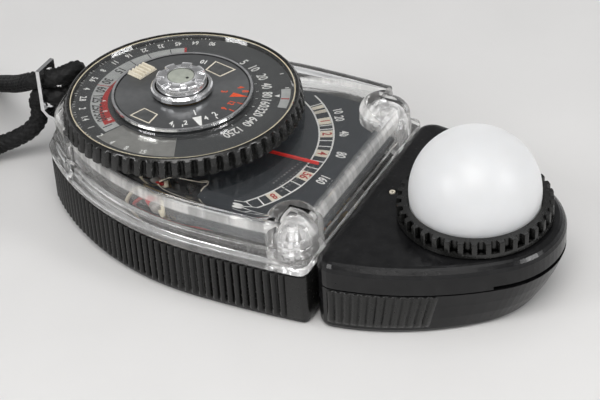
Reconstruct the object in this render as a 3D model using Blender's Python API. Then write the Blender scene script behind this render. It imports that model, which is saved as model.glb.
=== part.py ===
"""Handheld incident light meter, modelled as an assembly of separate pieces.

Metres, +Z up. The back of the case lies on z = 0, +X points from the strap lug to the swivelling head,
and the origin is under the middle of the meter without its neck cord.
"""

from math import atan2, cos, hypot, pi, radians, sin, sqrt

import bmesh
import bpy
import numpy as np
from mathutils import Vector

MM = 0.001
GAP = 0.3 * MM                    # between pieces that touch

# Main lengths along X, from the plane where the head meets the case
CASE_LENGTH = 71.2 * MM
HEAD_LENGTH = 41.4 * MM
LUG_REACH = 5.0 * MM
JOINT_X = (CASE_LENGTH + LUG_REACH - HEAD_LENGTH) / 2
JOINT_GAP = 0.3 * MM              # each side of the joint plane
DIAL_X = JOINT_X - 41.7 * MM
DOME_X = JOINT_X + 23.4 * MM

# Case outline: a slow front arc, a side arc, an end corner and an end arc
CASE_HALF_WIDTH = 28.7 * MM
WIDEST_X = JOINT_X - 25 * MM
FRONT_RADIUS = 260 * MM
SIDE_RADIUS = 63.2 * MM
END_RADIUS = 30 * MM
END_CORNER = 4.5 * MM
JOINT_CORNER = 1.8 * MM
COVER_CORNER = 6.9 * MM

# Head outline: a side arc and an end arc
HEAD_SIDE_RADIUS = 60.7 * MM
HEAD_SIDE_CENTRE = (JOINT_X - 3.73 * MM, -33.57 * MM)
HEAD_END_RADIUS = 16.7 * MM
HEAD_CORNER = 4 * MM
HEAD_TIP_DRAW = 0.13

# Heights
BASE_TOP = 12.0 * MM
FLOOR = 1.9 * MM
PLATE_TOP = 16.5 * MM
PLATE_THICK = 0.8 * MM
COVER_TOP = 23.2 * MM
COVER_THICK = 1.8 * MM
BOSS_SHOULDER = 18.7 * MM
BOSS_TOP = 20.9 * MM
HEAD_PARTING = 10.1 * MM
SWIVEL_Z = 8.0 * MM
SWIVEL_HOLE = 3.4 * MM
RING_BOTTOM = 23.65 * MM
RING_TOP = 27.75 * MM
DISC_TOP = 27.5 * MM
KNOB_BOTTOM = 28.65 * MM
COLLAR_TOP = 30.0 * MM
KNOB_TOP = 32.0 * MM
DOME_CENTRE_Z = 21.33 * MM
DOME_RADIUS = 13.04 * MM

# Dial and wall sizes
RIB_DEPTH = 0.35 * MM
WALL = 2.2 * MM
RING_RADIUS = 25.0 * MM
RING_TEETH = 62
DISC_RADIUS = 23.3 * MM
SPEED_DISC_RADIUS = 14.6 * MM
KNOB_RADIUS = 6.4 * MM
FLUTE_RADIUS = 5.2 * MM
BOSS_RADIUS = 5.0 * MM
BOSSES = [(JOINT_X - 5.95 * MM, 21.1 * MM), (JOINT_X - 5.95 * MM, -21.1 * MM)]
REAR_BOSSES = [(JOINT_X - 60 * MM, 13.5 * MM), (JOINT_X - 60 * MM, -13.5 * MM)]
HEAD_POSTS = [(JOINT_X + 7 * MM, 19.8 * MM), (JOINT_X + 7 * MM, -19.8 * MM)]
PLATE_Z = PLATE_TOP - PLATE_THICK - GAP
PILLARS = [(JOINT_X - 14 * MM, 22.5 * MM), (JOINT_X - 14 * MM, -22.5 * MM), (JOINT_X - 64.5 * MM, 0)]
DOME_RING_RADIUS = 15.45 * MM
DOME_NOTCHES = 36
NEEDLE_ANGLE = radians(0.3)
NEEDLE_LENGTH = 30.8 * MM
NEEDLE_Z = 17.6 * MM

# Strap
CORD_RADIUS = 2.0 * MM


# ---------------------------------------------------------------- materials

def material(name, colour, roughness, metallic=0.0, alpha=1.0):
    made = bpy.data.materials.get(name)
    if made is None:
        made = bpy.data.materials.new(name)
        made.use_nodes = True
        shader = made.node_tree.nodes["Principled BSDF"]
        shader.inputs["Base Color"].default_value = (*colour, 1)
        shader.inputs["Roughness"].default_value = roughness
        shader.inputs["Metallic"].default_value = metallic
        shader.inputs["Alpha"].default_value = alpha
    return made


def black_plastic():
    return material("black_plastic", (0.02, 0.02, 0.021), 0.35)


def clear_plastic():
    return material("clear_plastic", (0.9, 0.92, 0.92), 0.05, alpha=0.3)


def scale_paint():
    return material("scale_paint", (0.035, 0.045, 0.06), 0.45)


def chrome():
    return material("chrome", (0.75, 0.75, 0.76), 0.15, 1.0)


def steel():
    return material("steel", (0.55, 0.55, 0.56), 0.35, 1.0)


def brass():
    return material("brass", (0.72, 0.52, 0.2), 0.3, 1.0)


def copper():
    return material("copper", (0.7, 0.32, 0.16), 0.4, 1.0)


def opal_plastic():
    return material("opal_plastic", (0.9, 0.9, 0.9), 0.4)


def red_paint():
    return material("red_paint", (0.75, 0.03, 0.02), 0.4)


def inlay_paint():
    return material("inlay_paint", (0.3, 0.33, 0.29), 0.5)


def braid():
    return material("braid", (0.012, 0.012, 0.012), 0.9)


# ---------------------------------------------------------------- shapes

def add(name, vertices, faces, look, location=(0, 0, 0), rotation=(0, 0, 0)):
    """A closed mesh object with its faces turned out and its round sides shaded smooth."""
    mesh = bpy.data.meshes.new(name)
    mesh.from_pydata([tuple(v) for v in vertices], [], [tuple(f) for f in faces])
    work = bmesh.new()
    work.from_mesh(mesh)
    bmesh.ops.recalc_face_normals(work, faces=work.faces)
    work.to_mesh(mesh)
    work.free()
    mesh.shade_smooth()
    mesh.set_sharp_from_angle(angle=radians(35))
    made = bpy.data.objects.new(name, mesh)
    made.location = location
    made.rotation_euler = rotation
    if look is not None:
        made.data.materials.append(look)
    bpy.context.scene.collection.objects.link(made)
    return made


def loft_data(sections):
    """Vertices and faces of a body through outlines of equal length; sections are (outline, z)."""
    count = len(sections[0][0])
    vertices = [(x, y, z) for outline, z in sections for x, y in outline]
    faces = [list(range(count)), [(len(sections) - 1) * count + i for i in reversed(range(count))]]
    for level in range(len(sections) - 1):
        for i in range(count):
            j = (i + 1) % count
            low, high = level * count, (level + 1) * count
            faces.append((low + j, low + i, high + i, high + j))
    return vertices, faces


def loft(name, sections, look, **place):
    return add(name, *loft_data(sections), look, **place)


def prism(name, outline, low, high, look, **place):
    return loft(name, [(outline, low), (outline, high)], look, **place)


def circle(radius, count, centre=(0, 0)):
    turns = [2 * pi * i / count for i in range(count)]
    return [(centre[0] + radius * cos(t), centre[1] + radius * sin(t)) for t in turns]


def box_outline(low, high):
    return [(low[0], low[1]), (high[0], low[1]), (high[0], high[1]), (low[0], high[1])]


def box(name, low, high, look, **place):
    return prism(name, box_outline(low, high), low[2], high[2], look, **place)


def lathe_data(profile, count):
    """A profile of (radius, z) points turned about Z. It is a ring when no point lies on the axis."""
    vertices, rows = [], []
    for radius, z in profile:
        if radius == 0:
            rows.append([len(vertices)] * count)
            vertices.append((0, 0, z))
        else:
            rows.append([len(vertices) + i for i in range(count)])
            vertices += [(x, y, z) for x, y in circle(radius, count)]
    on_axis = profile[0][0] == 0
    pairs = list(zip(rows, rows[1:])) if on_axis else list(zip(rows, rows[1:] + rows[:1]))
    faces = []
    for lower, upper in pairs:
        for i in range(count):
            j = (i + 1) % count
            corners = []
            for corner in (lower[i], lower[j], upper[j], upper[i]):
                if corner not in corners:
                    corners.append(corner)
            if len(corners) > 2:
                faces.append(corners)
    return vertices, faces


def lathe(name, profile, look, count=32, **place):
    return add(name, *lathe_data(profile, count), look, **place)


def cylinder(name, radius, low, high, look, count=24, **place):
    return prism(name, circle(radius, count), low, high, look, **place)


def merge(parts):
    """Several sets of vertices and faces as one."""
    vertices, faces = [], []
    for some_vertices, some_faces in parts:
        start = len(vertices)
        vertices += some_vertices
        faces += [[start + i for i in face] for face in some_faces]
    return vertices, faces


def moved(data, shift):
    vertices, faces = data
    return [(x + shift[0], y + shift[1], z + shift[2]) for x, y, z in vertices], faces


def upright(radius, low, high, places, count=20):
    """Upright round solids of one size, for cutting or joining."""
    outline = circle(radius, count)
    return [moved(loft_data([(outline, low), (outline, high)]), (x, y, 0)) for x, y in places]


def combine(target, name, data, operation="DIFFERENCE", **place):
    """Cut a tool shape from an object, or join it to it. The tool stays as a hidden wire shape."""
    tool = add(target.name + "_" + name, *data, None, **place)
    tool.hide_render = True
    tool.display_type = "WIRE"
    step = target.modifiers.new(name, "BOOLEAN")
    step.operation = operation
    step.object = tool
    return tool


def screw(name, x, y, head_z, length, head_radius, shank_radius, look, down=1, slot=0.35 * MM):
    """A slotted cheese-head screw along Z. Its head's face is at head_z, and down = -1 drives it upward."""
    head = 0.9 * MM
    profile = [
        (0, 0),
        (head_radius - 0.2 * MM, 0),
        (head_radius, -0.2 * MM),
        (head_radius, -head),
        (shank_radius, -head),
        (shank_radius, -length),
        (0, -length),
    ]
    turned = (0, 0, 0) if down == 1 else (pi, 0, 0)
    made = lathe(name, profile, look, 20, location=(x, y, head_z), rotation=turned)
    wide = head_radius * 1.2
    tool = loft_data([
        (box_outline((-wide, -slot / 2), (wide, slot / 2)), -0.4 * MM),
        (box_outline((-wide, -slot / 2), (wide, slot / 2)), 0.3 * MM),
    ])
    combine(made, "slot", tool, location=(x, y, head_z), rotation=(turned[0], 0, 0.6))
    return made


def tube(name, points, radius, look, resolution=2):
    """A round tube along points, as a curve with filled ends."""
    curve = bpy.data.curves.new(name, "CURVE")
    curve.dimensions = "3D"
    spline = curve.splines.new("POLY")
    spline.points.add(len(points) - 1)
    for point, place in zip(spline.points, points):
        point.co = (*place, 1)
    curve.bevel_depth = radius
    curve.bevel_resolution = resolution
    curve.use_fill_caps = True
    made = bpy.data.objects.new(name, curve)
    made.data.materials.append(look)
    bpy.context.scene.collection.objects.link(made)
    return made


def smooth_route(points, spacing):
    """Points at even spacing on the Catmull-Rom curve through the route's own points."""
    route = [Vector(p) for p in points]
    route = [route[0] * 2 - route[1], *route, route[-1] * 2 - route[-2]]
    fine = []
    for a, b, c, d in zip(route, route[1:], route[2:], route[3:]):
        for step in range(24):
            t = step / 24
            square, cube = 2 * a - 5 * b + 4 * c - d, 3 * b - a - 3 * c + d
            fine.append(0.5 * (2 * b + (c - a) * t + square * t * t + cube * t ** 3))
    fine.append(route[-2])
    lengths = np.cumsum([0] + [(b - a).length for a, b in zip(fine, fine[1:])])
    places = np.linspace(0, lengths[-1], max(2, round(lengths[-1] / spacing)) + 1)
    columns = [np.interp(places, lengths, [p[k] for p in fine]) for k in range(3)]
    return [tuple(float(c[i]) for c in columns) for i in range(len(places))]


# ---------------------------------------------------------------- outlines

def arc(centre, radius, start, end, count):
    angles = [start + (end - start) * i / count for i in range(count + 1)]
    return [(centre[0] + radius * cos(a), centre[1] + radius * sin(a)) for a in angles]


def crossing(first, first_radius, second, second_radius):
    """Where two circles cross, on the side with the smaller x."""
    dx, dy = second[0] - first[0], second[1] - first[1]
    apart = hypot(dx, dy)
    along = (first_radius ** 2 - second_radius ** 2 + apart ** 2) / (2 * apart)
    off = sqrt(first_radius ** 2 - along ** 2)
    base = (first[0] + along * dx / apart, first[1] + along * dy / apart)
    ends = [(base[0] - s * off * dy / apart, base[1] + s * off * dx / apart) for s in (1, -1)]
    return min(ends)


def mirrored(upper):
    """Close an outline from its y > 0 half, which runs from +X to -X."""
    return upper + [(x, -y) for x, y in reversed(upper)]


def direction(centre, point):
    return atan2(point[1] - centre[1], point[0] - centre[0])


def case_outline(inset=0.0, joint_inset=None, corner=None):
    """The case seen from above, drawn in by inset, and by joint_inset at the joint."""
    joint = JOINT_X - JOINT_GAP - (inset if joint_inset is None else joint_inset)
    corner = max((JOINT_CORNER if corner is None else corner) - inset, 0.3 * MM)
    end_corner = max(END_CORNER - inset, 0.3 * MM)
    front = (WIDEST_X, CASE_HALF_WIDTH - FRONT_RADIUS)
    side = (WIDEST_X, CASE_HALF_WIDTH - SIDE_RADIUS)
    end = (JOINT_X - CASE_LENGTH + END_RADIUS, 0)
    front_radius, side_radius, end_radius = (r - inset for r in (FRONT_RADIUS, SIDE_RADIUS, END_RADIUS))
    near = (joint - corner, front[1] + sqrt((front_radius - corner) ** 2 - (joint - corner - front[0]) ** 2))
    far = crossing(side, side_radius - end_corner, end, end_radius - end_corner)
    upper = arc(near, corner, 0, direction(front, near), 6)
    upper += arc(front, front_radius, direction(front, near), pi / 2, 4)[1:]
    upper += arc(side, side_radius, pi / 2, direction(side, far), 12)[1:]
    upper += arc(far, end_corner, direction(side, far), direction(end, far), 5)[1:]
    upper += arc(end, end_radius, direction(end, far), pi - 0.02, 4)[1:]
    return mirrored(upper)


def head_outline(inset=0.0, joint_inset=None, draw_in=1.0):
    """The head seen from above, drawn in by inset; draw_in shortens it towards the joint."""
    joint = JOINT_X + JOINT_GAP + (inset if joint_inset is None else joint_inset)
    corner = max(HEAD_CORNER - inset, 0.3 * MM)
    side_radius, end_radius = HEAD_SIDE_RADIUS - inset, HEAD_END_RADIUS - inset
    end = (JOINT_X + HEAD_LENGTH - HEAD_END_RADIUS, 0)
    side = HEAD_SIDE_CENTRE
    near = (joint + corner, side[1] + sqrt((side_radius - corner) ** 2 - (joint + corner - side[0]) ** 2))
    turn = direction(side, end)
    upper = arc(end, end_radius, 0.02, turn, 10)
    upper += arc(side, side_radius, turn, direction(side, near), 12)[1:]
    upper += arc(near, corner, direction(side, near), pi, 6)[1:]
    narrow = 1 - HEAD_TIP_DRAW * (1 - draw_in)
    return mirrored([(joint + (x - joint) * draw_in, y * narrow) for x, y in upper])


# ---------------------------------------------------------------- case

def case_base():
    sections = [
        (case_outline(RIB_DEPTH + 0.9 * MM), 0),
        (case_outline(RIB_DEPTH + 0.25 * MM), 0.3 * MM),
        (case_outline(RIB_DEPTH), 1.0 * MM),
        (case_outline(RIB_DEPTH), BASE_TOP),
    ]
    base = loft("case_base", sections, black_plastic())
    inside = case_outline(WALL)
    combine(base, "cavity", loft_data([(inside, FLOOR), (inside, BASE_TOP + 1 * MM)]))
    posts = upright(2.6 * MM, 1.2 * MM, BASE_TOP, BOSSES + REAR_BOSSES)
    posts += upright(1.5 * MM, 1.2 * MM, PLATE_Z, PILLARS, 12)
    combine(base, "posts", merge(posts), "UNION")
    holes = upright(1.35 * MM, -1 * MM, 14 * MM, BOSSES + REAR_BOSSES, 16)
    heads = upright(2.2 * MM, -1 * MM, 1.3 * MM, BOSSES + REAR_BOSSES, 16)
    heads += upright(2.0 * MM, -1 * MM, 3 * MM, [(DIAL_X, 0)], 16)
    recess = loft_data([(plate_outline(0), -1 * MM), (plate_outline(0), 0.8 * MM)])
    combine(base, "holes", merge(holes))
    combine(base, "heads", merge(heads))
    combine(base, "recess", recess)
    swivel = loft_data([(circle(SWIVEL_HOLE, 24), -6 * MM), (circle(SWIVEL_HOLE, 24), 1 * MM)])
    combine(base, "swivel", swivel, location=(JOINT_X, 0, SWIVEL_Z), rotation=(0, pi / 2, 0))
    return base


def plate_outline(inset):
    """The blank plate let into the back."""
    long, wide, corner = 30 * MM, 32 * MM, 3 * MM
    centre = JOINT_X - 31 * MM
    points = []
    for sx, sy, start in ((1, 1, 0), (-1, 1, pi / 2), (-1, -1, pi), (1, -1, 1.5 * pi)):
        middle = (centre + sx * (long / 2 - corner), sy * (wide / 2 - corner))
        points += arc(middle, corner - inset, start, start + pi / 2, 4)
    return points


def rear_plate():
    plate = prism("rear_plate", plate_outline(GAP), 0, 0.5 * MM, scale_paint())
    combine(plate, "adjuster_hole", merge(upright(2.2 * MM, -1 * MM, 2 * MM, [(DIAL_X, 0)])))


def clear_cover():
    """The window: a flange on the base, a step, a straight wall and a rounded top, hollow below."""
    low = BASE_TOP + GAP
    corner = COVER_CORNER
    sections = [
        (case_outline(-0.3 * MM, 0), low),
        (case_outline(-0.3 * MM, 0), low + 1.9 * MM),
        (case_outline(0.7 * MM, 0.2 * MM, corner), low + 2.2 * MM),
        (case_outline(0.8 * MM, 0.2 * MM, corner), low + 4.0 * MM),
        (case_outline(1.6 * MM, 0.35 * MM, corner), low + 4.3 * MM),
        (case_outline(1.65 * MM, 0.4 * MM, corner), COVER_TOP - 1.9 * MM),
        (case_outline(1.9 * MM, 0.65 * MM, corner), COVER_TOP - 0.9 * MM),
        (case_outline(2.5 * MM, 1.25 * MM, corner), COVER_TOP - 0.25 * MM),
        (case_outline(3.4 * MM, 2.1 * MM, corner), COVER_TOP),
    ]
    cover = loft("clear_cover", sections, clear_plastic())
    under = COVER_TOP - COVER_THICK
    inside = [
        (case_outline(3.4 * MM, 2.2 * MM, corner), low - 1 * MM),
        (case_outline(3.4 * MM, 2.2 * MM, corner), under - 0.8 * MM),
        (case_outline(4.1 * MM, 2.9 * MM, corner), under),
    ]
    combine(cover, "inside", loft_data(inside))
    column = [
        (0, low),
        (BOSS_RADIUS, low),
        (BOSS_RADIUS, BOSS_SHOULDER),
        (BOSS_RADIUS - 0.3 * MM, BOSS_SHOULDER + 0.8 * MM),
        (BOSS_RADIUS - 1.1 * MM, BOSS_SHOULDER + 1.5 * MM),
        (BOSS_RADIUS - 2.2 * MM, BOSS_TOP - 0.15 * MM),
        (1.4 * MM, BOSS_TOP),
        (1.1 * MM, BOSS_TOP - 0.6 * MM),
        (0, BOSS_TOP - 0.6 * MM),
    ]
    columns = [moved(lathe_data(column, 32), (x, y, 0)) for x, y in BOSSES]
    columns += upright(2.6 * MM, low, under + 0.5 * MM, REAR_BOSSES)
    combine(cover, "columns", merge(columns), "UNION")
    insert_bore = [(0, low - 1 * MM), (3.2 * MM, low - 1 * MM), (3.2 * MM, 17.1 * MM), (1.4 * MM, 17.1 * MM),
                   (1.4 * MM, 18.8 * MM), (0, 18.8 * MM)]
    bores = [moved(lathe_data(insert_bore, 20), (x, y, 0)) for x, y in BOSSES]
    bores += upright(1.4 * MM, low - 1 * MM, 19 * MM, REAR_BOSSES, 16)
    bores += upright(5.1 * MM, under - 2 * MM, COVER_TOP + 1 * MM, [(DIAL_X, 0)], 32)
    combine(cover, "bores", merge(bores))


def case_screws():
    for label, boss, rear in zip(("far", "near"), BOSSES, REAR_BOSSES):
        screw("cover_screw_" + label, *boss, 0.1 * MM, 18.4 * MM, 1.9 * MM, 1.05 * MM, steel(), down=-1)
        screw("rear_screw_" + label, *rear, 0.1 * MM, 17 * MM, 1.9 * MM, 1.05 * MM, steel(), down=-1)
        knurl = toothed(2.9 * MM, 2.65 * MM, 9, 0.4, 0.1)
        bore = plain_like(1.35 * MM, 9, 0.4, 0.1)
        rows = [(bore, 12.6 * MM), (knurl, 12.6 * MM), (knurl, 16.8 * MM), (bore, 16.8 * MM)]
        add("boss_insert_" + label, *ring_data(rows), chrome(), location=(*boss, 0))
    screw("zero_adjuster", DIAL_X, 0, 0.1 * MM, 1.0 * MM, 1.7 * MM, 1.0 * MM, brass(), down=-1)


def scale_plate():
    """The printed plate under the window, cut out for the bosses and for the movement under the dial."""
    outline = case_outline(3.8 * MM, 2.7 * MM, COVER_CORNER)
    plate = prism("scale_plate", outline, PLATE_TOP - PLATE_THICK, PLATE_TOP, scale_paint())
    clear = upright(BOSS_RADIUS + 0.4 * MM, 14 * MM, 18 * MM, BOSSES, 32)
    clear += upright(3.1 * MM, 14 * MM, 18 * MM, REAR_BOSSES, 32)
    clear += upright(13.5 * MM, 14 * MM, 18 * MM, [(DIAL_X, 0)], 32)
    combine(plate, "cutouts", merge(clear))
    window = [(-12, -8), (-12, -28), (12.5, -28), (10.9, -24.3), (-2, -12.2)]
    outline = [(DIAL_X + x * MM, y * MM) for x, y in window]
    combine(plate, "service_window", loft_data([(outline, 14 * MM), (outline, 18 * MM)]))


def strap_lug():
    """A chromed strip on the case's end, cranked out and up into a loop that stands off the case."""
    end = JOINT_X - CASE_LENGTH
    thick, half = 0.9 * MM, 2.9 * MM
    centre = [
        (end - 0.55 * MM, 3.6 * MM),
        (end - 0.55 * MM, 10.9 * MM),
        (end - 1.35 * MM, 12.2 * MM),
        (end - 1.35 * MM, 13.6 * MM),
        (end - 2.1 * MM, 14.9 * MM),
        (end - 3.4 * MM, 15.2 * MM),
        (end - LUG_REACH + thick / 2, 16.4 * MM),
        (end - LUG_REACH + thick / 2, 26.2 * MM),
    ]
    inner, outer = [], []
    for i, (x, z) in enumerate(centre):
        before, after = centre[max(i - 1, 0)], centre[min(i + 1, len(centre) - 1)]
        along = Vector((after[0] - before[0], after[1] - before[1])).normalized()
        inner.append((x + along.y * thick / 2, z - along.x * thick / 2))
        outer.append((x - along.y * thick / 2, z + along.x * thick / 2))
    outline = inner + outer[::-1]
    lug = prism("strap_lug", outline, -half, half, chrome(), rotation=(pi / 2, 0, 0))
    slot = []
    for z, start in ((18.4 * MM, pi), (23.0 * MM, 0)):
        slot += [(2.4 * MM * cos(start + pi * i / 8), z + 2.4 * MM * sin(start + pi * i / 8)) for i in range(9)]
    combine(lug, "slot", loft_data([(slot, -12 * MM), (slot, 3 * MM)]),
            location=(end - LUG_REACH, 0, 0), rotation=(pi / 2, 0, pi / 2))
    hole = loft_data([(circle(1.2 * MM, 16), -3 * MM), (circle(1.2 * MM, 16), 3 * MM)])
    combine(lug, "screw_hole", hole, location=(end - 0.55 * MM, 0, 6.2 * MM), rotation=(0, pi / 2, 0))
    return lug


# ---------------------------------------------------------------- movement

def movement():
    x = DIAL_X
    profile = [(7.3 * MM, 3.4 * MM), (11.5 * MM, 3.4 * MM), (11.5 * MM, 11.4 * MM), (7.3 * MM, 11.4 * MM)]
    magnet = lathe("field_magnet", profile, black_plastic(), 40, location=(x, 0, 0))
    gate = box_outline((-20 * MM, -2.6 * MM), (-2 * MM, 2.6 * MM))
    combine(magnet, "mouth", loft_data([(gate, 2 * MM), (gate, 13 * MM)]), location=(x, 0, 0))
    half, long = 3.2 * MM, 13.0 * MM
    outline = [(-half, -long + half), (0, -long - 0.8 * MM), (half, -long + half), (half, long - half),
               (0, long + 0.8 * MM), (-half, long - half)]
    for name, low, high in (("lower_bridge", 2.3, 3.1), ("upper_bridge", 14.2, 15.0)):
        bridge = prism(name, outline, low * MM, high * MM, brass(), location=(x, 0, 0))
        hole = loft_data([(circle(1.25 * MM, 16), (low - 1) * MM), (circle(1.25 * MM, 16), (high + 1) * MM)])
        combine(bridge, "jewel_hole", hole, location=(x, 0, 0))
    for side, label in ((-1, "near"), (1, "far")):
        pillar = [(0, 3.4 * MM), (0.7 * MM, 3.4 * MM), (0.7 * MM, 13.9 * MM), (0, 13.9 * MM)]
        lathe("bridge_pillar_" + label, pillar, brass(), 12, location=(x, side * 12.6 * MM, 0))
    profile = [(0.9 * MM, 4.2 * MM), (4.6 * MM, 4.2 * MM), (4.6 * MM, 10.4 * MM), (0.9 * MM, 10.4 * MM)]
    lathe("magnet_core", profile, steel(), 28, location=(x, 0, 0))
    for name, low, high in (("lower_jewel_screw", 1.4, 3.4), ("upper_jewel_screw", 13.4, 15.8)):
        lathe(name, [(0, low * MM), (0.95 * MM, low * MM), (0.95 * MM, high * MM), (0, high * MM)], brass(), 16,
              location=(x, 0, 0))


def electrics():
    """The calibrating resistor and the leaf contacts on the swivel spindle."""
    body = [(0, 0), (0.9, 0), (1.5, 0.5), (1.5, 5.8), (0.9, 6.3), (0, 6.3)]
    lathe("calibration_resistor", [(r * MM, z * MM) for r, z in body], red_paint(), 20,
          location=(DIAL_X + 0.8 * MM, -16.9 * MM, 13.8 * MM), rotation=(0, pi / 2, -0.72))
    for label, y in (("inner", -1.2), ("outer", 1.2)):
        leaf = [
            (JOINT_X - 14 * MM, FLOOR + GAP),
            (JOINT_X - 9 * MM, FLOOR + GAP),
            (JOINT_X - 6.9 * MM, SWIVEL_Z - 1 * MM),
            (JOINT_X - 6.9 * MM, SWIVEL_Z + 1.6 * MM),
            (JOINT_X - 7.3 * MM, SWIVEL_Z + 1.6 * MM),
            (JOINT_X - 7.3 * MM, SWIVEL_Z - 1 * MM),
            (JOINT_X - 9.2 * MM, FLOOR + GAP + 0.4 * MM),
            (JOINT_X - 14 * MM, FLOOR + GAP + 0.4 * MM),
        ]
        low, high = -y * MM - 0.7 * MM, -y * MM + 0.7 * MM
        prism("slip_contact_" + label, leaf, low, high, copper(), rotation=(pi / 2, 0, 0))


def needle_group():
    """Staff, coil and needle, which turn together on the jewels under the dial."""
    place = {"location": (DIAL_X, 0, 0), "rotation": (0, 0, NEEDLE_ANGLE)}
    low, high = (-5.9 * MM, -1.7 * MM, 3.9 * MM), (5.9 * MM, 1.7 * MM, 11.0 * MM)
    coil = box("moving_coil", low, high, copper(), **place)
    window = box_outline((-5.2 * MM, -3 * MM), (5.2 * MM, 3 * MM))
    combine(coil, "window", loft_data([(window, 4.0 * MM), (window, 10.7 * MM)]), **place)
    for label, low, high in (("lower", 3.55 * MM, 3.85 * MM), ("upper", 11.05 * MM, 13.1 * MM)):
        profile = [(0, low), (0.5 * MM, low), (0.5 * MM, high), (0, high)]
        lathe("coil_pivot_" + label, profile, steel(), 12, **place)
    thick = 0.25 * MM
    outline = [
        (5.1 * MM, 11.3 * MM),
        (6.7 * MM, 11.3 * MM),
        (6.7 * MM, NEEDLE_Z - thick),
        (NEEDLE_LENGTH, NEEDLE_Z - thick),
        (NEEDLE_LENGTH, NEEDLE_Z + thick),
        (2.4 * MM, NEEDLE_Z + thick),
        (2.4 * MM, NEEDLE_Z - thick),
        (6.1 * MM, NEEDLE_Z - thick),
        (6.1 * MM, 11.8 * MM),
        (5.1 * MM, 11.8 * MM),
    ]
    prism("needle", outline, -0.22 * MM, 0.22 * MM, red_paint(), location=(DIAL_X, 0, 0),
          rotation=(pi / 2, 0, NEEDLE_ANGLE))
    spring = [(1.5 * MM, 12.2 * MM), (3.4 * MM, 12.2 * MM), (3.4 * MM, 12.5 * MM), (1.5 * MM, 12.5 * MM)]
    lathe("hairspring", spring, brass(), 24, location=(DIAL_X, 0, 0))


# ---------------------------------------------------------------- dial

def ring_data(rows):
    """A closed ring through rows of (outline, z); the last row meets the first."""
    count = len(rows[0][0])
    vertices = [(x, y, z) for outline, z in rows for x, y in outline]
    faces = []
    for level in range(len(rows)):
        low, high = level * count, ((level + 1) % len(rows)) * count
        for i in range(count):
            j = (i + 1) % count
            faces.append((low + i, low + j, high + j, high + i))
    return vertices, faces


def toothed(outer, inner, teeth, share, slope):
    """Teeth round a circle: share of the pitch is tooth, and slope of it is each flank."""
    points = []
    for i in range(teeth):
        for radius, place in ((outer, 0), (outer, share), (inner, share + slope), (inner, 1 - slope)):
            turn = 2 * pi * (i + place) / teeth
            points.append((radius * cos(turn), radius * sin(turn)))
    return points


def plain_like(radius, teeth, share, slope):
    return toothed(radius, radius, teeth, share, slope)


def dial():
    at = {"location": (DIAL_X, 0, 0)}
    bush = [
        (1.9 * MM, 21.0 * MM), (4.75 * MM, 21.0 * MM), (4.75 * MM, 27.1 * MM), (3.5 * MM, 27.1 * MM),
        (3.5 * MM, 22.0 * MM), (1.9 * MM, 22.0 * MM),
    ]
    lathe("dial_bush", bush, brass(), 32, **at)
    nut = [(5.4 * MM, 20.0 * MM), (7.4 * MM, 20.0 * MM), (7.4 * MM, 21.1 * MM), (5.4 * MM, 21.1 * MM)]
    lathe("dial_bush_collar", nut, brass(), 32, **at)
    scale = [(5.05 * MM, 23.5 * MM), (22.7 * MM, 23.5 * MM), (22.7 * MM, 25.2 * MM), (5.05 * MM, 25.2 * MM)]
    lathe("base_scale_disc", scale, scale_paint(), 48, **at)
    tooth = (RING_TEETH, 0.55, 0.15)
    rows = [
        (plain_like(23.5 * MM, *tooth), RING_BOTTOM),
        (toothed(RING_RADIUS, RING_RADIUS - 0.6 * MM, *tooth), RING_BOTTOM),
        (toothed(RING_RADIUS - 0.5 * MM, RING_RADIUS - 1.0 * MM, *tooth), RING_TOP - 0.35 * MM),
        (plain_like(RING_RADIUS - 1.0 * MM, *tooth), RING_TOP),
        (plain_like(23.5 * MM, *tooth), RING_TOP),
    ]
    add("dial_ring", *ring_data(rows), black_plastic(), **at)
    edge = DISC_RADIUS - 0.1 * MM
    disc = [(6.0 * MM, 26.0 * MM), (edge, 26.0 * MM), (edge, DISC_TOP), (6.0 * MM, DISC_TOP)]
    lathe("dial_disc", disc, clear_plastic(), 56, **at)
    low, high = DISC_TOP + GAP, 28.3 * MM
    edge = SPEED_DISC_RADIUS - 0.8 * MM
    lathe("speed_disc", [(6.0 * MM, low), (edge, low), (edge, high), (6.0 * MM, high)], scale_paint(), 48, **at)
    rim = [(SPEED_DISC_RADIUS - 0.5 * MM, low), (SPEED_DISC_RADIUS, low), (SPEED_DISC_RADIUS, high + 0.1 * MM),
           (SPEED_DISC_RADIUS - 0.5 * MM, high + 0.1 * MM)]
    lathe("speed_disc_rim", rim, chrome(), 48, **at)
    grip = [(9.7, -2.45), (13.5, -2.45), (13.5, 2.45), (9.7, 2.45)]
    prism("speed_disc_grip", [(a * MM, b * MM) for a, b in grip], high + GAP, high + 1.3 * MM, opal_plastic(),
          location=(DIAL_X, 0, 0), rotation=(0, 0, radians(166)))


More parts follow.
